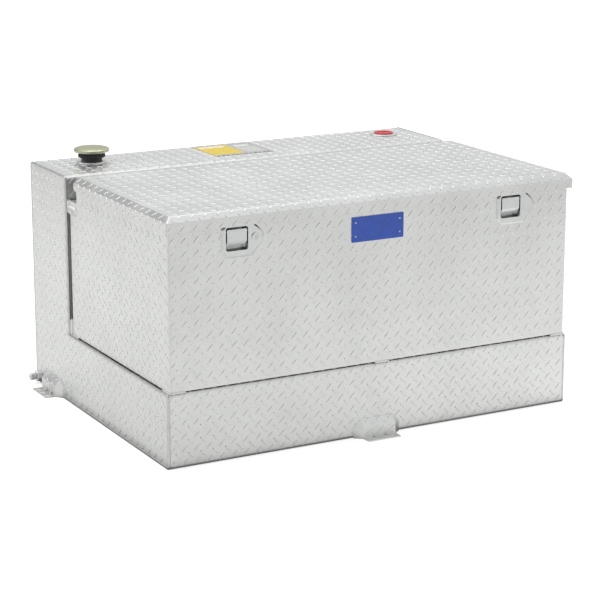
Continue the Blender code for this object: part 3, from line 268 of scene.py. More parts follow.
def lay_lugs(name, sheet, spots, body, finish, clamp, rise=0.0, placing=None, keep=None):
    """Lugs on a sheet: each lug's plan is turned by its lean, moved to its spot and bent with the sheet.

    u = spot_u + along * cos(lean) - across * sin(lean), v = spot_v + along * sin(lean) + across * cos(lean).
    clamp trims (u, v) at the sheet's edges, and keep picks the spots by their place in the object.
    """
    if keep is not None:
        spots = spots[keep(sheet.place(spots[:, 0], spots[:, 1], np.zeros(len(spots))))]
    along, across, height = LUG_POINTS.T
    cosine, sine = np.cos(spots[:, 2])[:, None], np.sin(spots[:, 2])[:, None]
    u = spots[:, 0][:, None] + along * cosine - across * sine
    v = spots[:, 1][:, None] + along * sine + across * cosine
    u, v = clamp(u, v)
    points = sheet.place(u, v, np.broadcast_to(height + rise, u.shape))
    if placing is not None:
        points = points @ np.array(placing.to_3x3()).T + np.array(placing.translation)
    count = len(LUG_POINTS)
    faces = []
    for face in LUG_FACES:
        ring = np.arange(len(spots))[:, None] * count + np.array(face)
        faces += ring.tolist()
    return make_piece(name, points, faces, body, finish, np.tile(LUG_CROWN, len(spots)))


def inside(points, low, high):
    """Which points lie in a box."""
    return np.all((points > low) & (points < high), axis=1)


def bead(name, path, radius, finish, ripple=RIPPLE_DEPTH, closed=False, sides=10):
    """A weld bead on the tank: a tube along a path whose radius swells and sinks with the arc length.

    r(s) = radius + ripple * (|sin(pi * s / pitch)| - 1/2), and the ends close in a quarter circle.
    """
    path = np.asarray(path, float)
    source = np.vstack([path, path[:1]]) if closed else path
    step = np.linalg.norm(np.diff(source, axis=0), axis=1)
    at = np.concatenate([[0], np.cumsum(step)])
    total = at[-1]
    count = max(8, int(total / (RIPPLE_PITCH / 3)))
    s = np.linspace(0, total, count + 1)[:-1] if closed else np.linspace(0, total, count)
    spine = np.stack([np.interp(s, at, source[:, k]) for k in range(3)], -1)
    ahead = np.roll(spine, -1, 0) - np.roll(spine, 1, 0) if closed else np.gradient(spine, axis=0)
    ahead /= np.linalg.norm(ahead, axis=1, keepdims=True)
    guide = np.array([0.31, 0.27, 0.91])      # a direction that no bead runs along
    first = np.cross(ahead, guide)
    first /= np.linalg.norm(first, axis=1, keepdims=True)
    second = np.cross(ahead, first)
    swell = radius + ripple * (np.abs(np.sin(math.pi * s / RIPPLE_PITCH)) - 0.5)
    if not closed:
        end = np.minimum(s, total - s) / radius
        swell = swell * np.sqrt(np.clip(1 - (1 - np.clip(end, 0.02, 1)) ** 2, 0.01, 1))
    angle = np.linspace(0, 2 * math.pi, sides, endpoint=False)
    ring = first[:, None] * np.cos(angle)[None, :, None] + second[:, None] * np.sin(angle)[None, :, None]
    points = spine[:, None] + ring * swell[:, None, None]
    faces = grid_faces(len(s), sides, wrap_rows=closed, wrap_columns=True).tolist()
    if not closed:
        faces += [list(range(sides))[::-1], [(len(s) - 1) * sides + k for k in range(sides)]]
    return make_piece(name, points, faces, "tank", finish)


def spun(name, profile, centre, body, finish, sides=16, sharp=40):
    """A turned piece: (radius, depth) pairs spun about a level line from front to rear through a centre.

    A point is centre + depth * back + radius * (cos(a) * up + sin(a) * right), and radius 0 closes a pole.
    """
    angle = np.linspace(0, 2 * math.pi, sides, endpoint=False)
    circle = np.cos(angle)[:, None] * UP + np.sin(angle)[:, None] * RIGHT
    points, index = [], []
    for radius, depth in profile:
        if radius < 1e-7:
            index.append([len(points)] * sides)
            points.append(centre + BACK * depth)
        else:
            index.append(list(range(len(points), len(points) + sides)))
            points += list(centre + BACK * depth + radius * circle)
    faces = []
    for row, following in zip(index, index[1:]):
        for k in range(sides):
            after = (k + 1) % sides
            corners = list(dict.fromkeys((row[k], row[after], following[after], following[k])))
            if len(corners) > 2:
                faces.append(corners)
    return make_piece(name, np.array(points), faces, body, finish, sharp=sharp)


# Node groups that several finishes share


def group_of(name, inputs, outputs):
    """An empty shader node group with named inputs (with their values) and outputs."""
    tree = bpy.data.node_groups.new(name, "ShaderNodeTree")
    for label, kind, value in inputs:
        socket = tree.interface.new_socket(label, in_out="INPUT", socket_type=kind)
        if value is not None:
            socket.default_value = value
    for label, kind in outputs:
        tree.interface.new_socket(label, in_out="OUTPUT", socket_type=kind)
    return tree, tree.nodes.new("NodeGroupInput"), tree.nodes.new("NodeGroupOutput")


def node(tree, kind, values=None, **settings):
    """A node with its settings and its sockets' values; a value that is a socket is linked."""
    made = tree.nodes.new(kind)
    for key, value in settings.items():
        setattr(made, key, value)
    for key, value in (values or {}).items():
        if isinstance(value, bpy.types.NodeSocket):
            tree.links.new(value, made.inputs[key])
        else:
            made.inputs[key].default_value = value
    return made


def maths(tree, operation, a, b=0.0, clamp=False):
    """One Math node's result."""
    return node(tree, "ShaderNodeMath", {0: a, 1: b}, operation=operation, use_clamp=clamp).outputs[0]


def ranged(tree, value, low, high, out_low, out_high):
    """A value carried from low..high to out_low..out_high and held there outside it."""
    return node(tree, "ShaderNodeMapRange", {"Value": value, "From Min": low, "From Max": high,
                                             "To Min": out_low, "To Max": out_high}).outputs[0]


def blended(tree, factor, first, second):
    """Colour mix of two colours or sockets."""
    made = node(tree, "ShaderNodeMix", data_type="RGBA")
    for socket, value in ((made.inputs[0], factor), (made.inputs[6], first), (made.inputs[7], second)):
        if isinstance(value, bpy.types.NodeSocket):
            tree.links.new(value, socket)
        elif socket is made.inputs[0]:
            socket.default_value = value
        else:
            socket.default_value = (*value, 1.0)
    return made.outputs[2]


def grain_group():
    """Rolled or moulded grain: fine noise stretched by a vector, with broad clouds of tone."""
    tree, inward, outward = group_of("surface_grain", [
        ("Vector", "NodeSocketVector", None), ("Stretch", "NodeSocketVector", (1.0, 1.0, 1.0)),
        ("Fine Scale", "NodeSocketFloat", 900.0), ("Cloud Scale", "NodeSocketFloat", 9.0)],
        [("Fine", "NodeSocketFloat"), ("Cloud", "NodeSocketFloat")])
    pulled = node(tree, "ShaderNodeVectorMath", {0: inward.outputs["Vector"], 1: inward.outputs["Stretch"]},
                  operation="MULTIPLY").outputs[0]
    fine = node(tree, "ShaderNodeTexNoise", {"Vector": pulled, "Scale": inward.outputs["Fine Scale"],
                                             "Detail": 3.0, "Roughness": 0.6})
    cloud = node(tree, "ShaderNodeTexNoise", {"Vector": inward.outputs["Vector"],
                                              "Scale": inward.outputs["Cloud Scale"],
                                              "Detail": 4.0, "Roughness": 0.55})
    tree.links.new(fine.outputs[0], outward.inputs["Fine"])
    tree.links.new(cloud.outputs[0], outward.inputs["Cloud"])
    return tree


SMUDGE_SPAN = (0.52, 0.68)            # noise values between which a smudge comes up
SCRATCH_SPAN = (0.66, 0.74)
SCRATCH_TURNS = (0.5, 2.1)            # radians
SCRATCH_STRETCH = (1.0, 0.04, 1.0)


def marks_group():
    """Handling marks: sparse smudges, and thin scratches that run two ways."""
    tree, inward, outward = group_of("handling_marks", [
        ("Vector", "NodeSocketVector", None), ("Smudge Scale", "NodeSocketFloat", 14.0),
        ("Scratch Scale", "NodeSocketFloat", 60.0)],
        [("Smudge", "NodeSocketFloat"), ("Scratch", "NodeSocketFloat")])
    smudge = node(tree, "ShaderNodeTexNoise", {"Vector": inward.outputs["Vector"],
                                               "Scale": inward.outputs["Smudge Scale"], "Detail": 6.0,
                                               "Distortion": 0.8}).outputs[0]
    tree.links.new(ranged(tree, smudge, *SMUDGE_SPAN, 0.0, 1.0), outward.inputs["Smudge"])
    lines = []
    for turn in SCRATCH_TURNS:
        turned = node(tree, "ShaderNodeMapping", {"Vector": inward.outputs["Vector"],
                                                  "Rotation": (turn, 0.7, turn),
                                                  "Scale": SCRATCH_STRETCH}).outputs[0]
        noise = node(tree, "ShaderNodeTexNoise", {"Vector": turned, "Scale": inward.outputs["Scratch Scale"],
                                                  "Detail": 2.0}).outputs[0]
        lines.append(ranged(tree, noise, *SCRATCH_SPAN, 0.0, 1.0))
    tree.links.new(maths(tree, "MAXIMUM", lines[0], lines[1]), outward.inputs["Scratch"])
    return tree


def field_group():
    """Mask of a rectangle in X and Y, 1 inside and 0 outside."""
    sides = [(label, "NodeSocketFloat", 0.0) for label in ("Left", "Right", "Near", "Far")]
    tree, inward, outward = group_of("rectangle_mask", [("Vector", "NodeSocketVector", None), *sides],
                                     [("Mask", "NodeSocketFloat")])
    split = node(tree, "ShaderNodeSeparateXYZ", {0: inward.outputs["Vector"]})
    tests = [maths(tree, "GREATER_THAN", split.outputs[0], inward.outputs["Left"]),
             maths(tree, "LESS_THAN", split.outputs[0], inward.outputs["Right"]),
             maths(tree, "GREATER_THAN", split.outputs[1], inward.outputs["Near"]),
             maths(tree, "LESS_THAN", split.outputs[1], inward.outputs["Far"])]
    both = maths(tree, "MULTIPLY", maths(tree, "MULTIPLY", tests[0], tests[1]),
                 maths(tree, "MULTIPLY", tests[2], tests[3]))
    tree.links.new(both, outward.inputs["Mask"])
    return tree


GRAIN, MARKS, FIELD = grain_group(), marks_group(), field_group()


def grouped(tree, group, values):
    """A node that holds a group, with its inputs' values."""
    return node(tree, "ShaderNodeGroup", values, node_tree=group)


# Finishes
FINE_SHARE = 0.35         # of a finish's tone; its broad clouds make the rest
BUMP_DEPTH = 0.0004
# painted shade: how dark a raised lug's foot is painted, as a share of the dark colour
FOOT_SHADE = 0.35         # of the dark colour, at a lug's foot
SMUDGE_ROUGHNESS = 0.06
SCRATCH_GLOSS = 0.08
CAP_RIM = (0.044, 0.052)  # radii between which the cap's colour pales
# painted shadow along the label's near edge, broken into dashes
LABEL_SHADOW_DASH_RATE = 420.0   # radians per metre of the label's broken edge


def finish(name, dark, light, rough, metallic=0.0, stretch=(1, 1, 1), fine=900.0, cloud=9.0, bump=0.05,
           scratch=0.25, coat=0.0, crown=None):
    """A material whose colour runs from dark to light with the grain, and whose roughness spans a range.

    crown darkens the feet of raised lugs by a factor, read from the piece's crown attribute: a painted shade.
    """
    made = bpy.data.materials.new(name)
    made.use_nodes = True
    tree = made.node_tree
    shader = tree.nodes["Principled BSDF"]
    shader.inputs["Metallic"].default_value = metallic
    shader.inputs["Coat Weight"].default_value = coat
    where = node(tree, "ShaderNodeTexCoord").outputs["Object"]
    grain = grouped(tree, GRAIN, {"Vector": where, "Stretch": stretch, "Fine Scale": fine,
                                  "Cloud Scale": cloud})
    marks = grouped(tree, MARKS, {"Vector": where})
    tone = maths(tree, "ADD", maths(tree, "MULTIPLY", grain.outputs["Fine"], FINE_SHARE),
                 maths(tree, "MULTIPLY", grain.outputs["Cloud"], 1 - FINE_SHARE))
    colour = blended(tree, ranged(tree, tone, 0.35, 0.65, 0.0, 1.0), dark, light)
    wear = maths(tree, "MULTIPLY", marks.outputs["Scratch"], scratch)
    if crown is not None:
        # painted shade, darker towards each lug's foot
        foot = node(tree, "ShaderNodeAttribute", attribute_name="crown").outputs["Fac"]
        shade = ranged(tree, foot, 0.0, 0.75, 1.0, 0.0)
        painted_foot_shade = tuple(FOOT_SHADE * c for c in dark)
        colour = blended(tree, maths(tree, "MULTIPLY", shade, crown), colour, painted_foot_shade)
    tree.links.new(colour, shader.inputs["Base Color"])
    span_of = maths(tree, "ADD", ranged(tree, tone, 0.3, 0.7, rough[0], rough[1]),
                    maths(tree, "MULTIPLY", marks.outputs["Smudge"], SMUDGE_ROUGHNESS))
    gloss = maths(tree, "MULTIPLY", wear, SCRATCH_GLOSS)
    tree.links.new(maths(tree, "SUBTRACT", span_of, gloss, clamp=True), shader.inputs["Roughness"])
    height = maths(tree, "SUBTRACT", grain.outputs["Fine"], wear)
    relief = node(tree, "ShaderNodeBump", {"Strength": bump, "Distance": BUMP_DEPTH, "Height": height})
    tree.links.new(relief.outputs[0], shader.inputs["Normal"])
    return made, tree, shader, where


def colour_link(tree, shader, colour):
    """Takes a colour to the shader in place of the one linked before."""
    tree.links.new(colour, shader.inputs["Base Color"])


def gold_finish():
    """Yellow chromate on zinc: drifts between straw, green and rose with radial streaks, paler at the rim."""
    made, tree, shader, where = finish("yellow_zinc", (0.60, 0.55, 0.33), (0.72, 0.68, 0.46), (0.22, 0.34),
                                       1.0, fine=700.0, cloud=40.0, bump=0.04)
    centre = middle_of("filler_cap")
    local = node(tree, "ShaderNodeMapping", {"Vector": where, "Location": tuple(-centre)}).outputs[0]
    split = node(tree, "ShaderNodeSeparateXYZ", {0: local})
    around = maths(tree, "ARCTAN2", split.outputs[1], split.outputs[0])
    streaks = node(tree, "ShaderNodeTexNoise", {"W": around, "Scale": 2.2, "Detail": 3.0},
                   noise_dimensions="1D").outputs[0]
    wander = node(tree, "ShaderNodeTexNoise", {"Vector": where, "Scale": 38.0, "Detail": 2.0,
                                               "Distortion": 1.6}).outputs[0]
    mixed = maths(tree, "ADD", maths(tree, "MULTIPLY", streaks, 0.5), maths(tree, "MULTIPLY", wander, 0.5))
    ramp = node(tree, "ShaderNodeValToRGB", {0: mixed})
    stops = [(0.30, (0.38, 0.46, 0.30)), (0.42, (0.50, 0.51, 0.29)), (0.52, (0.50, 0.50, 0.32)),
             (0.60, (0.50, 0.43, 0.33)), (0.72, (0.42, 0.46, 0.37))]
    for extra in stops[2:]:
        ramp.color_ramp.elements.new(extra[0])
    for element, (place, colour) in zip(ramp.color_ramp.elements, stops):
        element.position = place
        element.color = (*colour, 1.0)
    radius = node(tree, "ShaderNodeVectorMath", {0: local}, operation="LENGTH").outputs[1]
    rim = ranged(tree, radius, *CAP_RIM, 0.0, 0.7)
    colour_link(tree, shader, blended(tree, rim, ramp.outputs[0], (0.62, 0.63, 0.50)))
    return made


LABEL_LOW, LABEL_HIGH = span("fill_label")
LABEL_MIDDLE = middle_of("fill_label")


def label_finish():
    """Printed film in plain colour fields: yellow, grey and pale blocks, and a painted shadow in dark dashes
    along its near edge.
    """
    made, tree, shader, where = finish("label_print", (0.46, 0.46, 0.45), (0.52, 0.52, 0.50), (0.38, 0.5),
                                       fine=500.0, bump=0.02, scratch=0.1)
    fields = [((-0.0955, 0.0075, -0.0655, 0.0775), (0.80, 0.60, 0.05)),
              ((0.020, 0.080, -0.060, 0.020), (0.62, 0.62, 0.60)),
              ((-0.085, -0.005, 0.045, 0.068), (0.86, 0.84, 0.78)),
              ((0.026, 0.074, 0.034, 0.058), (0.80, 0.80, 0.78))]
    colour = shader.inputs["Base Color"].links[0].from_socket
    local = node(tree, "ShaderNodeMapping", {"Vector": where, "Location": tuple(-LABEL_MIDDLE)}).outputs[0]
    for (left, right, near, far), tint in fields:
        mask = grouped(tree, FIELD, {"Vector": local, "Left": left, "Right": right, "Near": near,
                                     "Far": far}).outputs[0]
        colour = blended(tree, mask, colour, tint)
    split = node(tree, "ShaderNodeSeparateXYZ", {0: local})
    wave = maths(tree, "SINE", maths(tree, "MULTIPLY", split.outputs[0], LABEL_SHADOW_DASH_RATE))
    shadow_dashes = maths(tree, "GREATER_THAN", wave, 0.1)
    # painted shadow: dark dashes along the label's near edge, where the film lies over the lugs
    edge = grouped(tree, FIELD, {"Vector": local, "Left": -0.095, "Right": 0.095, "Near": -0.084,
                                 "Far": -0.078}).outputs[0]
    colour = blended(tree, maths(tree, "MULTIPLY", edge, shadow_dashes), colour, (0.03, 0.03, 0.03))
    colour_link(tree, shader, colour)
    return made


TREAD = finish("bright_tread", (0.71, 0.715, 0.70), (0.79, 0.795, 0.78), (0.34, 0.44), 1.0, fine=700.0,
               cloud=6.0, bump=0.05)[0]
# painted highlight: the lugs are a lighter colour than the flat sheet of the same metal, and crown paints
# shade at their feet
LUGS = finish("lugs_painted_light_and_shade", (0.82, 0.825, 0.81), (0.90, 0.905, 0.89), (0.22, 0.32), 1.0, fine=700.0,
              cloud=10.0, bump=0.04, crown=0.50)[0]
SEAM = finish("dressed_seam", (0.50, 0.50, 0.49), (0.64, 0.64, 0.63), (0.24, 0.36), 1.0, fine=420.0,
              cloud=60.0, bump=0.10, scratch=0.6)[0]
WELD = finish("weld_bead", (0.66, 0.66, 0.65), (0.80, 0.80, 0.79), (0.36, 0.50), 1.0, fine=500.0, cloud=80.0,
              bump=0.12)[0]
MILL = finish("mill_aluminium", (0.70, 0.70, 0.70), (0.80, 0.80, 0.80), (0.30, 0.42), 1.0,
              stretch=(0.05, 1.0, 1.0), fine=600.0, bump=0.08)[0]
STAINLESS = finish("polished_stainless", (0.64, 0.65, 0.64), (0.74, 0.75, 0.74), (0.20, 0.32), 1.0,
                   stretch=(1.0, 1.0, 0.06), fine=500.0, cloud=30.0, bump=0.03)[0]
ZINC = finish("zinc_plate", (0.52, 0.54, 0.55), (0.66, 0.68, 0.69), (0.26, 0.40), 1.0, fine=400.0, cloud=70.0,
              bump=0.06)[0]
BLACK_PLASTIC = finish("moulded_black", (0.012, 0.013, 0.014), (0.03, 0.031, 0.033), (0.38, 0.52), fine=650.0,
                       bump=0.18, scratch=0.1)[0]
BLACK_PAINT = finish("satin_black", (0.015, 0.015, 0.016), (0.03, 0.03, 0.032), (0.28, 0.40), fine=420.0,
                     bump=0.05, coat=0.3)[0]
RED_PLASTIC = finish("moulded_red", (0.56, 0.006, 0.014), (0.68, 0.012, 0.022), (0.28, 0.42), fine=500.0,
                     cloud=50.0, bump=0.10, scratch=0.1)[0]
RUBBER = finish("cell_rubber", (0.012, 0.012, 0.012), (0.035, 0.035, 0.034), (0.70, 0.88), fine=900.0,
                bump=0.30, scratch=0.0)[0]
FOAM = finish("rigid_foam", (0.66, 0.60, 0.40), (0.80, 0.74, 0.52), (0.80, 0.95), fine=500.0, bump=0.4,
              scratch=0.0)[0]
BLUE = finish("blue_enamel", (0.004, 0.055, 0.40), (0.006, 0.075, 0.50), (0.22, 0.32), fine=350.0, cloud=30.0,
              bump=0.03, coat=0.5, scratch=0.15)[0]
GOLD = gold_finish()
LABEL = label_finish()

SLOT_FINISH = {
    "tread_plate": TREAD, "plain_aluminium": MILL, "weld_bead": WELD, "stainless": STAINLESS,
    "zinc_steel": ZINC, "gold_zinc": GOLD, "black_plastic": BLACK_PLASTIC, "black_paint": BLACK_PAINT,
    "red_plastic": RED_PLASTIC, "rubber": RUBBER, "foam": FOAM, "blue_plate": BLUE, "label_film": LABEL,
}


def dress_nodes():
    """Gives each CAD node the finish of its material slot."""
    slots = {part["node"]: part["material_slot"] for part in frame["record"]["subparts"]}
    for name, piece in frame["nodes"].items():
        piece.data.materials.clear()
        piece.data.materials.append(SLOT_FINISH[slots[name]])


# Tread lugs on the folded sheets


def profile_yz(corners, radius):
    """A rounded path through (y, z) corners, in the plane x = 0."""
    return rounded([(0.0, y, z) for y, z in corners], radius)


TANK_FRONT_LUG = (-0.0049, 0.1221)   # one lug's place across, and its length up from the front's foot
TANK_TOP_LUG = (0.2462, 0.3440)      # one lug's place across and in depth on the tank's top


def tank_lugs():
    """Lugs on the tank's wrap, from the bottom of the front over step, wall and top to the rear."""
    front, rear, top = TANK_LOW[1], TANK_HIGH[1], TANK_HIGH[2]
    side = TANK_HIGH[0] - SEAM_MARGIN
    corners = [(front, 0.0), (front, STEP), (WALL, STEP), (WALL, top), (rear, top), (rear, 0.0)]
    sheet = Sheet(RIGHT, profile_yz(corners, [0, TANK_BEND, TANK_BEND / 2, TANK_BEND, TANK_BEND, 0]))
    climb = (WALL - front) + (STEP + top) / 2                # length up to the hidden wall behind the chest
    to_top = sheet.length - top - rear + TANK_BEND * (2 - math.pi / 2)       # length at depth 0 on the top
    width = (-side, side)
    spots = np.concatenate([
        lattice(*TANK_FRONT_LUG, width, (0.004, climb), TANK_FRONT_PITCH),
        lattice(TANK_TOP_LUG[0], to_top + TANK_TOP_LUG[1], width, (climb + 0.010, sheet.length - 0.004),
                TANK_TOP_PITCH)])
    ports = [middle_of(name) for name in ("filler_bung", "pump_port_bung")]
    bung_low, bung_high = span("filler_bung")
    flange = (bung_high - bung_low)[0] / 2

    def seen(points):
        """Spots that neither the chest nor a port covers."""
        chest_low = (-1, CHEST_LOW[1] + 0.02, STEP - SLACK)
        chest_high = (1, WALL + SLACK, GUTTER_FLOOR - 0.01)
        near_port = np.zeros(len(points), bool)
        for port in ports:
            near_port |= np.hypot(points[:, 0] - port[0], points[:, 1] - port[1]) < flange + SLACK
        on_top = points[:, 2] > top - SLACK
        return ~inside(points, chest_low, chest_high) & ~(near_port & on_top)

    def on_label(points):
        """Spots under the label."""
        low, high = (*(LABEL_LOW[:2] - SLACK), top - SLACK), (*(LABEL_HIGH[:2] + SLACK), top + SLACK)
        return inside(points, low, high)

    def clamp(u, v):
        """Trims lugs at the bare bands and at the wrap's edges."""
        return np.clip(u, -side, side), np.clip(v, WRAP_MARGIN, sheet.length - WRAP_MARGIN)

    lay_lugs("tank_wrap_lugs", sheet, spots, "tank", LUGS, clamp, keep=lambda p: seen(p) & ~on_label(p))
    lay_lugs("label_relief", sheet, spots, "tank", LABEL, clamp, LABEL_RISE,
             keep=lambda p: seen(p) & on_label(p))


TANK_END_LUG = (-0.0725, 0.1200)     # depth and height of one lug that leans forward


def tank_end_lugs(hand, sign):
    """Lugs on a tank end plate, inside the bare band along its seam."""
    axis = BACK * sign
    x = sign * TANK_HIGH[0]
    sheet = Sheet(axis, np.array([(x, 0.0, 0.0), (x, 0.0, TANK_HIGH[2])]))
    front, rear = TANK_LOW[1] + SEAM_MARGIN, TANK_HIGH[1] - SEAM_MARGIN
    wall, top, step = WALL + SEAM_MARGIN, TANK_HIGH[2] - SEAM_MARGIN, STEP - SEAM_MARGIN
    spots = lattice(TANK_END_LUG[0] * sign, TANK_END_LUG[1], (-0.5, 0.5), (SEAM_MARGIN, top), TANK_END_PITCH)
    drain_low, drain_high = span("drain_bung")

    def keep(points):
        """Spots on the L of the plate, clear of the drain fitting."""
        y, z = points[:, 1], points[:, 2]
        whole = (y > front) & (y < rear) & ((z < step) | (y > wall)) & (z < top)
        low, high = (-1, drain_low[1] - DRAIN_ROOM, -1), (0, 1, drain_high[2] + DRAIN_ROOM)
        return whole & ~inside(points, low, high)

    def clamp(u, v):
        """Trims lugs at the seam's bare band, the step's inner corner included."""
        y = u * sign
        tall = y > wall - 0.004
        y = np.where(v > step, np.maximum(y, np.where(tall, wall, y)), y)
        v = np.where(~tall, np.minimum(v, step), v)
        return np.clip(y, front, rear) * sign, np.clip(v, SEAM_MARGIN, top)

    lay_lugs(f"tank_end_{hand}_lugs", sheet, spots, "tank", LUGS, clamp, keep=keep)


CHEST_RETURN = 0.016                 # how far the front sheet runs round the chest's corners
CHEST_FRONT_LUG = (0.3862, 0.0058)   # one lug's height, and its distance to the left of the middle


def chest_front_lugs():
    """Lugs on the chest's front, which run round its upright corners."""
    side, front = CHEST_HIGH[0], CHEST_LOW[1]
    corners = [(side, front + CHEST_RETURN, 0), (side, front, 0),
               (-side, front, 0), (-side, front + CHEST_RETURN, 0)]
    sheet = Sheet(UP, rounded(corners, CHEST_BEND))
    low, high = CHEST_LOW[2] + 0.003, CHEST_HIGH[2] - 0.001
    spots = lattice(CHEST_FRONT_LUG[0], sheet.length / 2 + CHEST_FRONT_LUG[1], (low, high),
                    (0.002, sheet.length - 0.002), CHEST_FRONT_PITCH, swap=True)
    covers = [(*span("name_plate"), PLATE_COVER)]
    covers += [(*span(f"latch_{hand}_dish"), DISH_COVER) for hand in ("left", "right")]

    def keep(points):
        """Spots that neither the name plate nor a latch covers."""
        hidden = np.zeros(len(points), bool)
        for least, most, depth in covers:
            hidden |= inside(points, (least[0] + depth, -1, least[2] + depth),
                             (most[0] - depth, 1, most[2] - depth))
        return ~hidden

    def clamp(u, v):
        """Trims lugs at the sheet's four edges."""
        return np.clip(u, low, high), np.clip(v, 0.0005, sheet.length - 0.0005)

    lay_lugs("chest_front_lugs", sheet, spots, "tank", LUGS, clamp, keep=keep)


CHEST_SIDE_LUG = (-0.1780, 0.4070)   # depth and height of one lug that leans forward


def chest_side_lugs(hand, sign):
    """Lugs on a chest side, behind the front sheet's return and below the gutter."""
    x = sign * CHEST_HIGH[0]
    sheet = Sheet(BACK * sign, np.array([(x, 0.0, 0.0), (x, 0.0, 1.0)]))
    low, high = CHEST_LOW[2] + 0.003, CHEST_HIGH[2] - 0.001
    start, end = CHEST_LOW[1] + CHEST_RETURN + RETURN_ROOM, CHEST_HIGH[1] - 0.004
    spots = lattice(CHEST_SIDE_LUG[0] * sign, CHEST_SIDE_LUG[1], (-0.6, 0.6), (low, high), CHEST_SIDE_PITCH)
    gutter = GUTTER_WALL - 0.003

    def keep(points):
        """Spots behind the front sheet and outside the gutter."""
        y, z = points[:, 1], points[:, 2]
        return (y > start) & (y < end) & ((z < GUTTER_FLOOR - 0.003) | (y < gutter))

    def clamp(u, v):
        """Trims lugs at the side's edges, with the gutter cut out."""
        y = u * sign
        tall = y > gutter
        v = np.where(tall, np.minimum(v, GUTTER_FLOOR - 0.002), v)
        return np.clip(y, start - RETURN_ROOM, end) * sign, np.clip(v, low, high)

    lay_lugs(f"chest_{hand}_lugs", sheet, spots, "tank", LUGS, clamp, keep=keep)


LID_FRONT_LUG = (0.0144, 0.0069)     # one lug's place across, and its length up from the skirt's foot
LID_SIDE_LUG = (-0.1572, 0.6635)     # one lug's depth and height on the bevel
LID_TOP_LUG = (0.0142, -0.1520)      # one lug's place across and in depth on the lid's top


def lid_corners():
    """The lid's folded edge from the skirt's foot to the top, as (distance outwards, height)."""
    return [(0.0, LID_LOW[2]), (0.0, LID_HIGH[2] - LID_BEVEL), (-LID_BEVEL, LID_HIGH[2])]


def lid_lugs():
    """Lugs over the lid: one sheet for top and front, and one for each side, mitred at the corners."""
    side, front, rear = LID_HIGH[0], LID_LOW[1], LID_HIGH[1] - 0.002
    fold = lid_corners()
    path = rounded([(0, front - out, z) for out, z in fold] + [(0, rear, LID_HIGH[2])], LID_BEND)
    sheet = Sheet(RIGHT, path)
    over = sheet.length - (rear - front - LID_BEVEL)      # length from the skirt's foot to the top's edge
    top_side, top_front = side - LID_BEVEL, front + LID_BEVEL
    to_top = sheet.length - rear
    fold_end = over + 0.006
    spots = np.concatenate([
        lattice(*LID_FRONT_LUG, (-side, side), (0.002, fold_end), LID_FRONT_PITCH),
        lattice(LID_TOP_LUG[0], to_top + LID_TOP_LUG[1], (-side, side), (fold_end + 0.006, sheet.length),
                LID_TOP_PITCH)])

    def inset_at(v):
        """Distance inwards of the folded edge at a length v from the skirt's foot."""
        return np.interp(v, [0, over - LID_BEVEL * math.sqrt(2), over], [0.0, 0.0, LID_BEVEL])

    def clamp(u, v):
        """Trims lugs at the mitres."""
        v = np.clip(v, 0.0015, sheet.length)
        limit = side - inset_at(v) - 0.001
        return np.clip(u, -limit, limit), v

    limits = np.where(spots[:, 1] > over + TOP_ROOM, top_side - TOP_ROOM, side - inset_at(spots[:, 1]))
    lay_lugs("lid_top_lugs", sheet, spots[np.abs(spots[:, 0]) < limits], "lid", LUGS, clamp)

    for hand, sign in (("left", -1), ("right", 1)):
        edge = [(sign * (side + out), 0, z) for out, z in fold] + [(sign * 0.5, 0, LID_HIGH[2])]
        flap = Sheet(BACK * sign, rounded(edge, LID_BEND))
        bevel_foot = LID_HIGH[2] - LID_BEVEL
        up_bevel = bevel_foot - LID_LOW[2] + (LID_SIDE_LUG[1] - bevel_foot) * math.sqrt(2)
        found = lattice(LID_SIDE_LUG[0] * sign, up_bevel, (-0.7, 0.7), (0.002, over + 0.008), LID_SIDE_PITCH)
        y = found[:, 0] * sign
        found = found[(y > front + inset_at(found[:, 1]) + 0.002) & (y < rear)
                      & ((found[:, 1] < over) | (y > top_front + 0.010))]

        def clamp_side(u, v, sign=sign):
            """Trims a side's lugs at its mitre, its rear edge and the corner cut off there."""
            v = np.clip(v, 0.0015, 1.0)
            y = np.clip(u * sign, front + inset_at(v) + 0.001, rear)
            notch = np.interp(y, [rear - LID_NOTCH[0], rear], [0.0, LID_NOTCH[1]])
            return y * sign, np.maximum(v, notch + 0.001)

        lay_lugs(f"lid_{hand}_lugs", flap, found, "lid", LUGS, clamp_side)


# Sizes of the feet, as in the CAD
FOOT_HALF_WIDTH = 0.050
FOOT_RUN = 0.018
FOOT_RISER = 0.033
FOOT_TOP = 0.052
FOOT_FLANGE = 0.048
FOOT_SHEET = 0.0032
FOOT_LUG = (0.004, 0.010)            # one lug's place across, and its length in from the flange's edge


def foot_lugs():
    """Lugs on each foot's flange, riser and slope, laid on the front foot's form and then placed."""
    corners = [(-FOOT_FLANGE, FOOT_SHEET), (-FOOT_RUN, FOOT_SHEET), (-FOOT_RUN, FOOT_RISER), (0.0, FOOT_TOP)]
    sheet = Sheet(RIGHT, profile_yz(corners, 0.001))
    half = FOOT_HALF_WIDTH - 0.002
    spots = lattice(*FOOT_LUG, (-half, half), (0.002, sheet.length - 0.002))
    middle_y = middle_of("foot_left")[1]
    placings = {
        "front": Matrix.Translation((0, TANK_LOW[1], 0)),
        "left": Matrix.Translation((TANK_LOW[0], middle_y, 0)) @ Matrix.Rotation(-math.pi / 2, 4, "Z"),
        "right": Matrix.Translation((TANK_HIGH[0], middle_y, 0)) @ Matrix.Rotation(math.pi / 2, 4, "Z"),
    }

    def clamp(u, v):
        """Trims lugs at the foot's edges."""
        return np.clip(u, -half, half), np.clip(v, 0.001, sheet.length - 0.001)

    for hand, placing in placings.items():
        lay_lugs(f"foot_{hand}_lugs", sheet, spots, "tank", LUGS, clamp, placing=placing)


# Weld beads


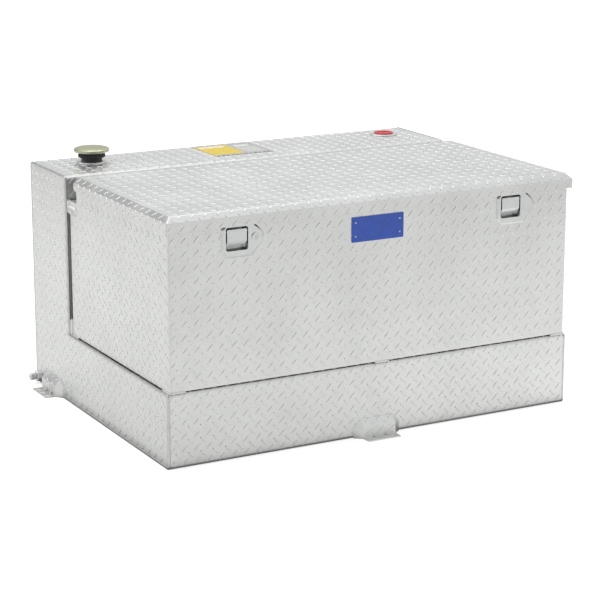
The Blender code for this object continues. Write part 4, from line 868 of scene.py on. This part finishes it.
def seam_beads():
    """Dressed corner seams round both end plates."""
    inset = SEAM_INSET
    front, rear, top = TANK_LOW[1] + inset, TANK_HIGH[1] - inset, TANK_HIGH[2] - inset
    low = SEAM_RADIUS
    for hand, sign in (("left", -1), ("right", 1)):
        x = sign * (TANK_HIGH[0] - inset)
        corners = [(x, (front + rear) / 2, low), (x, rear, low), (x, rear, top), (x, WALL + inset, top),
                   (x, WALL + inset, STEP - inset), (x, front, STEP - inset), (x, front, low),
                   (x, (front + rear) / 2 - 0.0005, low)]
        path = rounded(corners, SEAM_CORNER)
        bead(f"seam_{hand}", path, SEAM_RADIUS, SEAM, ripple=SEAM_RIPPLE, closed=True, sides=12)


def stitch_beads():
    """Rippled beads in place of the plain stitch welds, and more weld where the chest meets the wall."""
    low, high = span("weld_front_middle")
    z = (low[2] + high[2]) / 2
    face = low[1] + BEAD_INSET
    runs = {"weld_front_middle": [(low[0], face, z), (high[0], face, z)]}
    for hand, sign in (("left", -1), ("right", 1)):
        low, high = span(f"weld_front_{hand}")
        edge = sign * (max(abs(low[0]), abs(high[0])) - BEAD_INSET)
        inner = sign * min(abs(low[0]), abs(high[0]))
        corners = [(inner, face, z), (edge, face, z), (edge, high[1], z)]
        runs[f"weld_front_{hand}"] = rounded(corners, BEAD_CORNER)
        low, high = span(f"weld_side_{hand}")
        runs[f"weld_side_{hand}"] = [(edge, low[1], z), (edge, high[1], z)]
    for name, path in runs.items():
        piece = bead(f"{name}_bead", path, BEAD_RADIUS, WELD)
        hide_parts(name)
    for hand, sign in (("left", -1), ("right", 1)):
        low, high = span(f"weld_wall_{hand}")
        x = sign * (max(abs(low[0]), abs(high[0])) - WALL_BEAD_INSET)
        y = (low[1] + high[1]) / 2
        path = [(x, y, low[2]), (x, y, high[2])]
        piece = bead(f"weld_wall_{hand}_bead", path, WALL_BEAD_RADIUS, WELD, ripple=WALL_RIPPLE)
        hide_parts(f"weld_wall_{hand}")
        level = low[2] + LUMP_RADIUS - LUMP_DROP
        deep = sign * (CHEST_HIGH[0] + LUMP_PROUD - LUMP_RADIUS)
        path = [(deep, LUMP_NEAR, level), (deep, LUMP_FAR, level)]
        bead(f"wall_lump_{hand}", path, LUMP_RADIUS, WELD, ripple=LUMP_RIPPLE, sides=14)
        path = [(x, WALL - FILL_INSET, FILL_LOW), (x, WALL - FILL_INSET, FILL_HIGH)]
        bead(f"wall_fill_{hand}", path, FILL_RADIUS, WELD, ripple=FILL_RIPPLE)


RIVET_RADIUS = 0.0026
RIVET_HEIGHT = 0.0013
RIVET_SUNK = 0.0004               # how far its flat end lies behind the name plate's face
RIVET_SPOT = (0.068, 0.0184)      # its distance from the plate's middle, across and up


def rivets():
    """Four domed rivets on the name plate.

    With a from 0 to 90 degrees, the dome's radius is R * cos(a) and its height is H * sin(a).
    """
    face, middle = span("name_plate")[0][1], middle_of("name_plate")
    lean = np.linspace(0, math.pi / 2, 6)
    dome = [(RIVET_RADIUS * math.cos(a), -RIVET_HEIGHT * math.sin(a)) for a in lean[:-1]]
    profile = [(0.0, RIVET_SUNK), *dome, (0.0, -RIVET_HEIGHT)]
    for index, (side, level) in enumerate(((-1, 1), (1, 1), (-1, -1), (1, -1)), 1):
        centre = np.array([middle[0] + side * RIVET_SPOT[0], face, middle[2] + level * RIVET_SPOT[1]])
        spun(f"plate_rivet_{index}", profile, centre, "tank", ZINC)


# Floor, light and camera
FLOOR_REACH = 60.0                    # metres from the middle to each edge
PAPER_TONES = ((0.68, 0.68, 0.67), (0.70, 0.70, 0.69))
# painted shade on the floor, which only reflections and bounced light see: a dark line at the object's foot
# and a darkening far away
PAINTED_FLOOR_SHADE = (0.20, 0.20, 0.20)
CAMERA_GLOW = 0.60                    # the floor's own light where the camera sees it
# the next rows each hold two places in metres and the values there
# painted shadow line at the object's foot
FOOT_LINE = (0.0, 0.04, 0.0, 1.0)     # the dark line at the object's foot
FAR_SHADE = (3.0, 6.0, 1.0, 0.25)
NEAR_GLOW = (0.0, 0.8, 0.43, 0.34)
SIDE_GLOW = (-0.8, 0.8, -0.13, 0.11)  # from left to right
SIDE_FADE = (0.3, 1.0, 1.0, 0.2)      # of the side glow, with the distance


def make_floor():
    """A plain pale floor that reads as white paper with soft contact shadows.

    Mirrored in the object it glows more towards the object, where the object's own shade would dull it, up
    to a thin painted shadow line at its foot: away = |(max(|x| - X, 0), max(|y| - Y, 0))|. It is dimmer at
    the left than at the right, and a painted shade darkens it from 3 m to 6 m away, which the raised lugs'
    rear flanks mirror.
    """
    mesh = bpy.data.meshes.new("floor")
    ends = ((-1, -1), (1, -1), (1, 1), (-1, 1))
    mesh.from_pydata([(x * FLOOR_REACH, y * FLOOR_REACH, 0) for x, y in ends], [], [(0, 1, 2, 3)])
    paper = bpy.data.materials.new("paper")
    paper.use_nodes = True
    tree = paper.node_tree
    shader = tree.nodes["Principled BSDF"]
    where = node(tree, "ShaderNodeTexCoord").outputs["Object"]
    noise = node(tree, "ShaderNodeTexNoise", {"Vector": where, "Scale": 3.0}).outputs[0]
    shader.inputs["Roughness"].default_value = 0.9
    shader.inputs["Emission Color"].default_value = (1, 1, 1, 1)
    seen = node(tree, "ShaderNodeLightPath").outputs["Is Camera Ray"]
    split = node(tree, "ShaderNodeSeparateXYZ", {0: where})
    clear = [maths(tree, "MAXIMUM", maths(tree, "SUBTRACT", maths(tree, "ABSOLUTE", split.outputs[k]), edge))
             for k, edge in ((0, TANK_HIGH[0]), (1, TANK_HIGH[1]))]
    away = maths(tree, "SQRT", maths(tree, "ADD", maths(tree, "POWER", clear[0], 2.0),
                                     maths(tree, "POWER", clear[1], 2.0)))
    open_floor = maths(tree, "MAXIMUM", ranged(tree, away, *FOOT_LINE), seen)
    distance = maths(tree, "MAXIMUM", ranged(tree, away, *FAR_SHADE), seen)
    lit = maths(tree, "MULTIPLY", open_floor, distance)
    paper_tone = blended(tree, noise, *PAPER_TONES)
    tree.links.new(blended(tree, lit, PAINTED_FLOOR_SHADE, paper_tone), shader.inputs["Base Color"])
    across = maths(tree, "MULTIPLY", ranged(tree, split.outputs[0], *SIDE_GLOW),
                   ranged(tree, away, *SIDE_FADE))
    near_glow = maths(tree, "ADD", ranged(tree, away, *NEAR_GLOW), across)
    glow = maths(tree, "MULTIPLY", near_glow, lit)
    tree.links.new(maths(tree, "MAXIMUM", maths(tree, "MULTIPLY", seen, CAMERA_GLOW), glow),
                   shader.inputs["Emission Strength"])
    mesh.materials.append(paper)
    floor = bpy.data.objects.new("floor", mesh)
    bpy.context.scene.collection.objects.link(floor)


def area_light(name, place, aim, size, power):
    """A white rectangular light at a place, turned to its aim."""
    light = bpy.data.lights.new(name, "AREA")
    light.shape = "RECTANGLE"
    light.size, light.size_y = size
    light.energy = power
    holder = bpy.data.objects.new(name, light)
    holder.location = place
    holder.rotation_euler = (Vector(aim) - Vector(place)).to_track_quat("-Z", "Y").to_euler()
    bpy.context.scene.collection.objects.link(holder)


# place, aim, size and watts of each light
LIGHTS = {"panel": ((-3.5, 2.3, 2.8), (-0.5, 0, 0.65), (1.6, 1.6), 24.0),
          "overhead": ((0.2, 1.3, 4.0), (0.2, 1.3, 0.5), (3.6, 3.2), 40.0)}
SKY_COLOUR = (0.98, 0.99, 1.0, 1.0)
SKY_RISE = (-0.1, 0.9, 0.81, 0.90)    # two heights of the direction and the strengths there
# middle, outer and inner half angles in degrees, and depth of the studio's dim patches
PATCHES = [((-0.25, -0.87, 0.42), 30.0, 16.0, 0.85), ((-0.253, 0.852, 0.459), 22.0, 12.0, 0.68),
           ((-0.84, 0.06, 0.54), 20.0, 10.0, 0.50), ((0.42, 0.88, 0.20), 20.0, 9.0, 0.15)]


def make_light():
    """A soft bright studio with dim patches, on the camera's side, at the left, and behind at left and right.

    Strength = rise(z) * (1 - depth * t) for each patch, where t goes from 0 at its outer angle to 1 at its
    inner one, by the dot product of the direction with the patch's middle.
    """
    world = bpy.data.worlds.new("studio")
    bpy.context.scene.world = world
    world.use_nodes = True
    tree = world.node_tree
    ground = tree.nodes["Background"]
    way = node(tree, "ShaderNodeTexCoord").outputs["Generated"]
    split = node(tree, "ShaderNodeSeparateXYZ", {0: way})
    strength = ranged(tree, split.outputs[2], *SKY_RISE)
    for middle, outer, inner, depth in PATCHES:
        aim = tuple(Vector(middle).normalized())
        near = node(tree, "ShaderNodeVectorMath", {0: way, 1: aim}, operation="DOT_PRODUCT").outputs["Value"]
        start, end = math.cos(math.radians(outer)), math.cos(math.radians(inner))
        strength = maths(tree, "MULTIPLY", strength, ranged(tree, near, start, end, 1.0, 1.0 - depth))
    tree.links.new(strength, ground.inputs["Strength"])
    ground.inputs["Color"].default_value = SKY_COLOUR
    for name, (place, aim, size, power) in LIGHTS.items():
        area_light(name, place, aim, size, power)


VIEW_LENS = 121.1         # millimetres, on a 36 mm sensor
VIEW_SHIFT = -0.06
VIEW_PLACE = (-2.6887, -4.9716, 1.7367)
VIEW_AZIMUTH = -28.545    # degrees
VIEW_PITCH = 13.495       # degrees downwards


def make_camera():
    """The photograph's view: a long lens with a small shift, fitted to the object's corners."""
    data = bpy.data.cameras.new("view")
    data.lens = VIEW_LENS
    data.sensor_width = 36.0
    data.shift_y = VIEW_SHIFT
    data.clip_end = 200.0
    camera = bpy.data.objects.new("view", data)
    camera.location = VIEW_PLACE
    azimuth, pitch = math.radians(VIEW_AZIMUTH), math.radians(VIEW_PITCH)
    camera.rotation_euler = (math.pi / 2 - pitch, 0.0, azimuth)
    bpy.context.scene.collection.objects.link(camera)
    bpy.context.scene.camera = camera


def main():
    """Builds the scene in a fixed order."""
    bpy.context.scene.view_settings.view_transform = "Standard"
    make_camera()
    make_light()
    make_floor()
    dress_nodes()
    tank_lugs()
    for hand, sign in (("left", -1), ("right", 1)):
        tank_end_lugs(hand, sign)
        chest_side_lugs(hand, sign)
    chest_front_lugs()
    lid_lugs()
    foot_lugs()
    seam_beads()
    stitch_beads()
    rivets()


main()
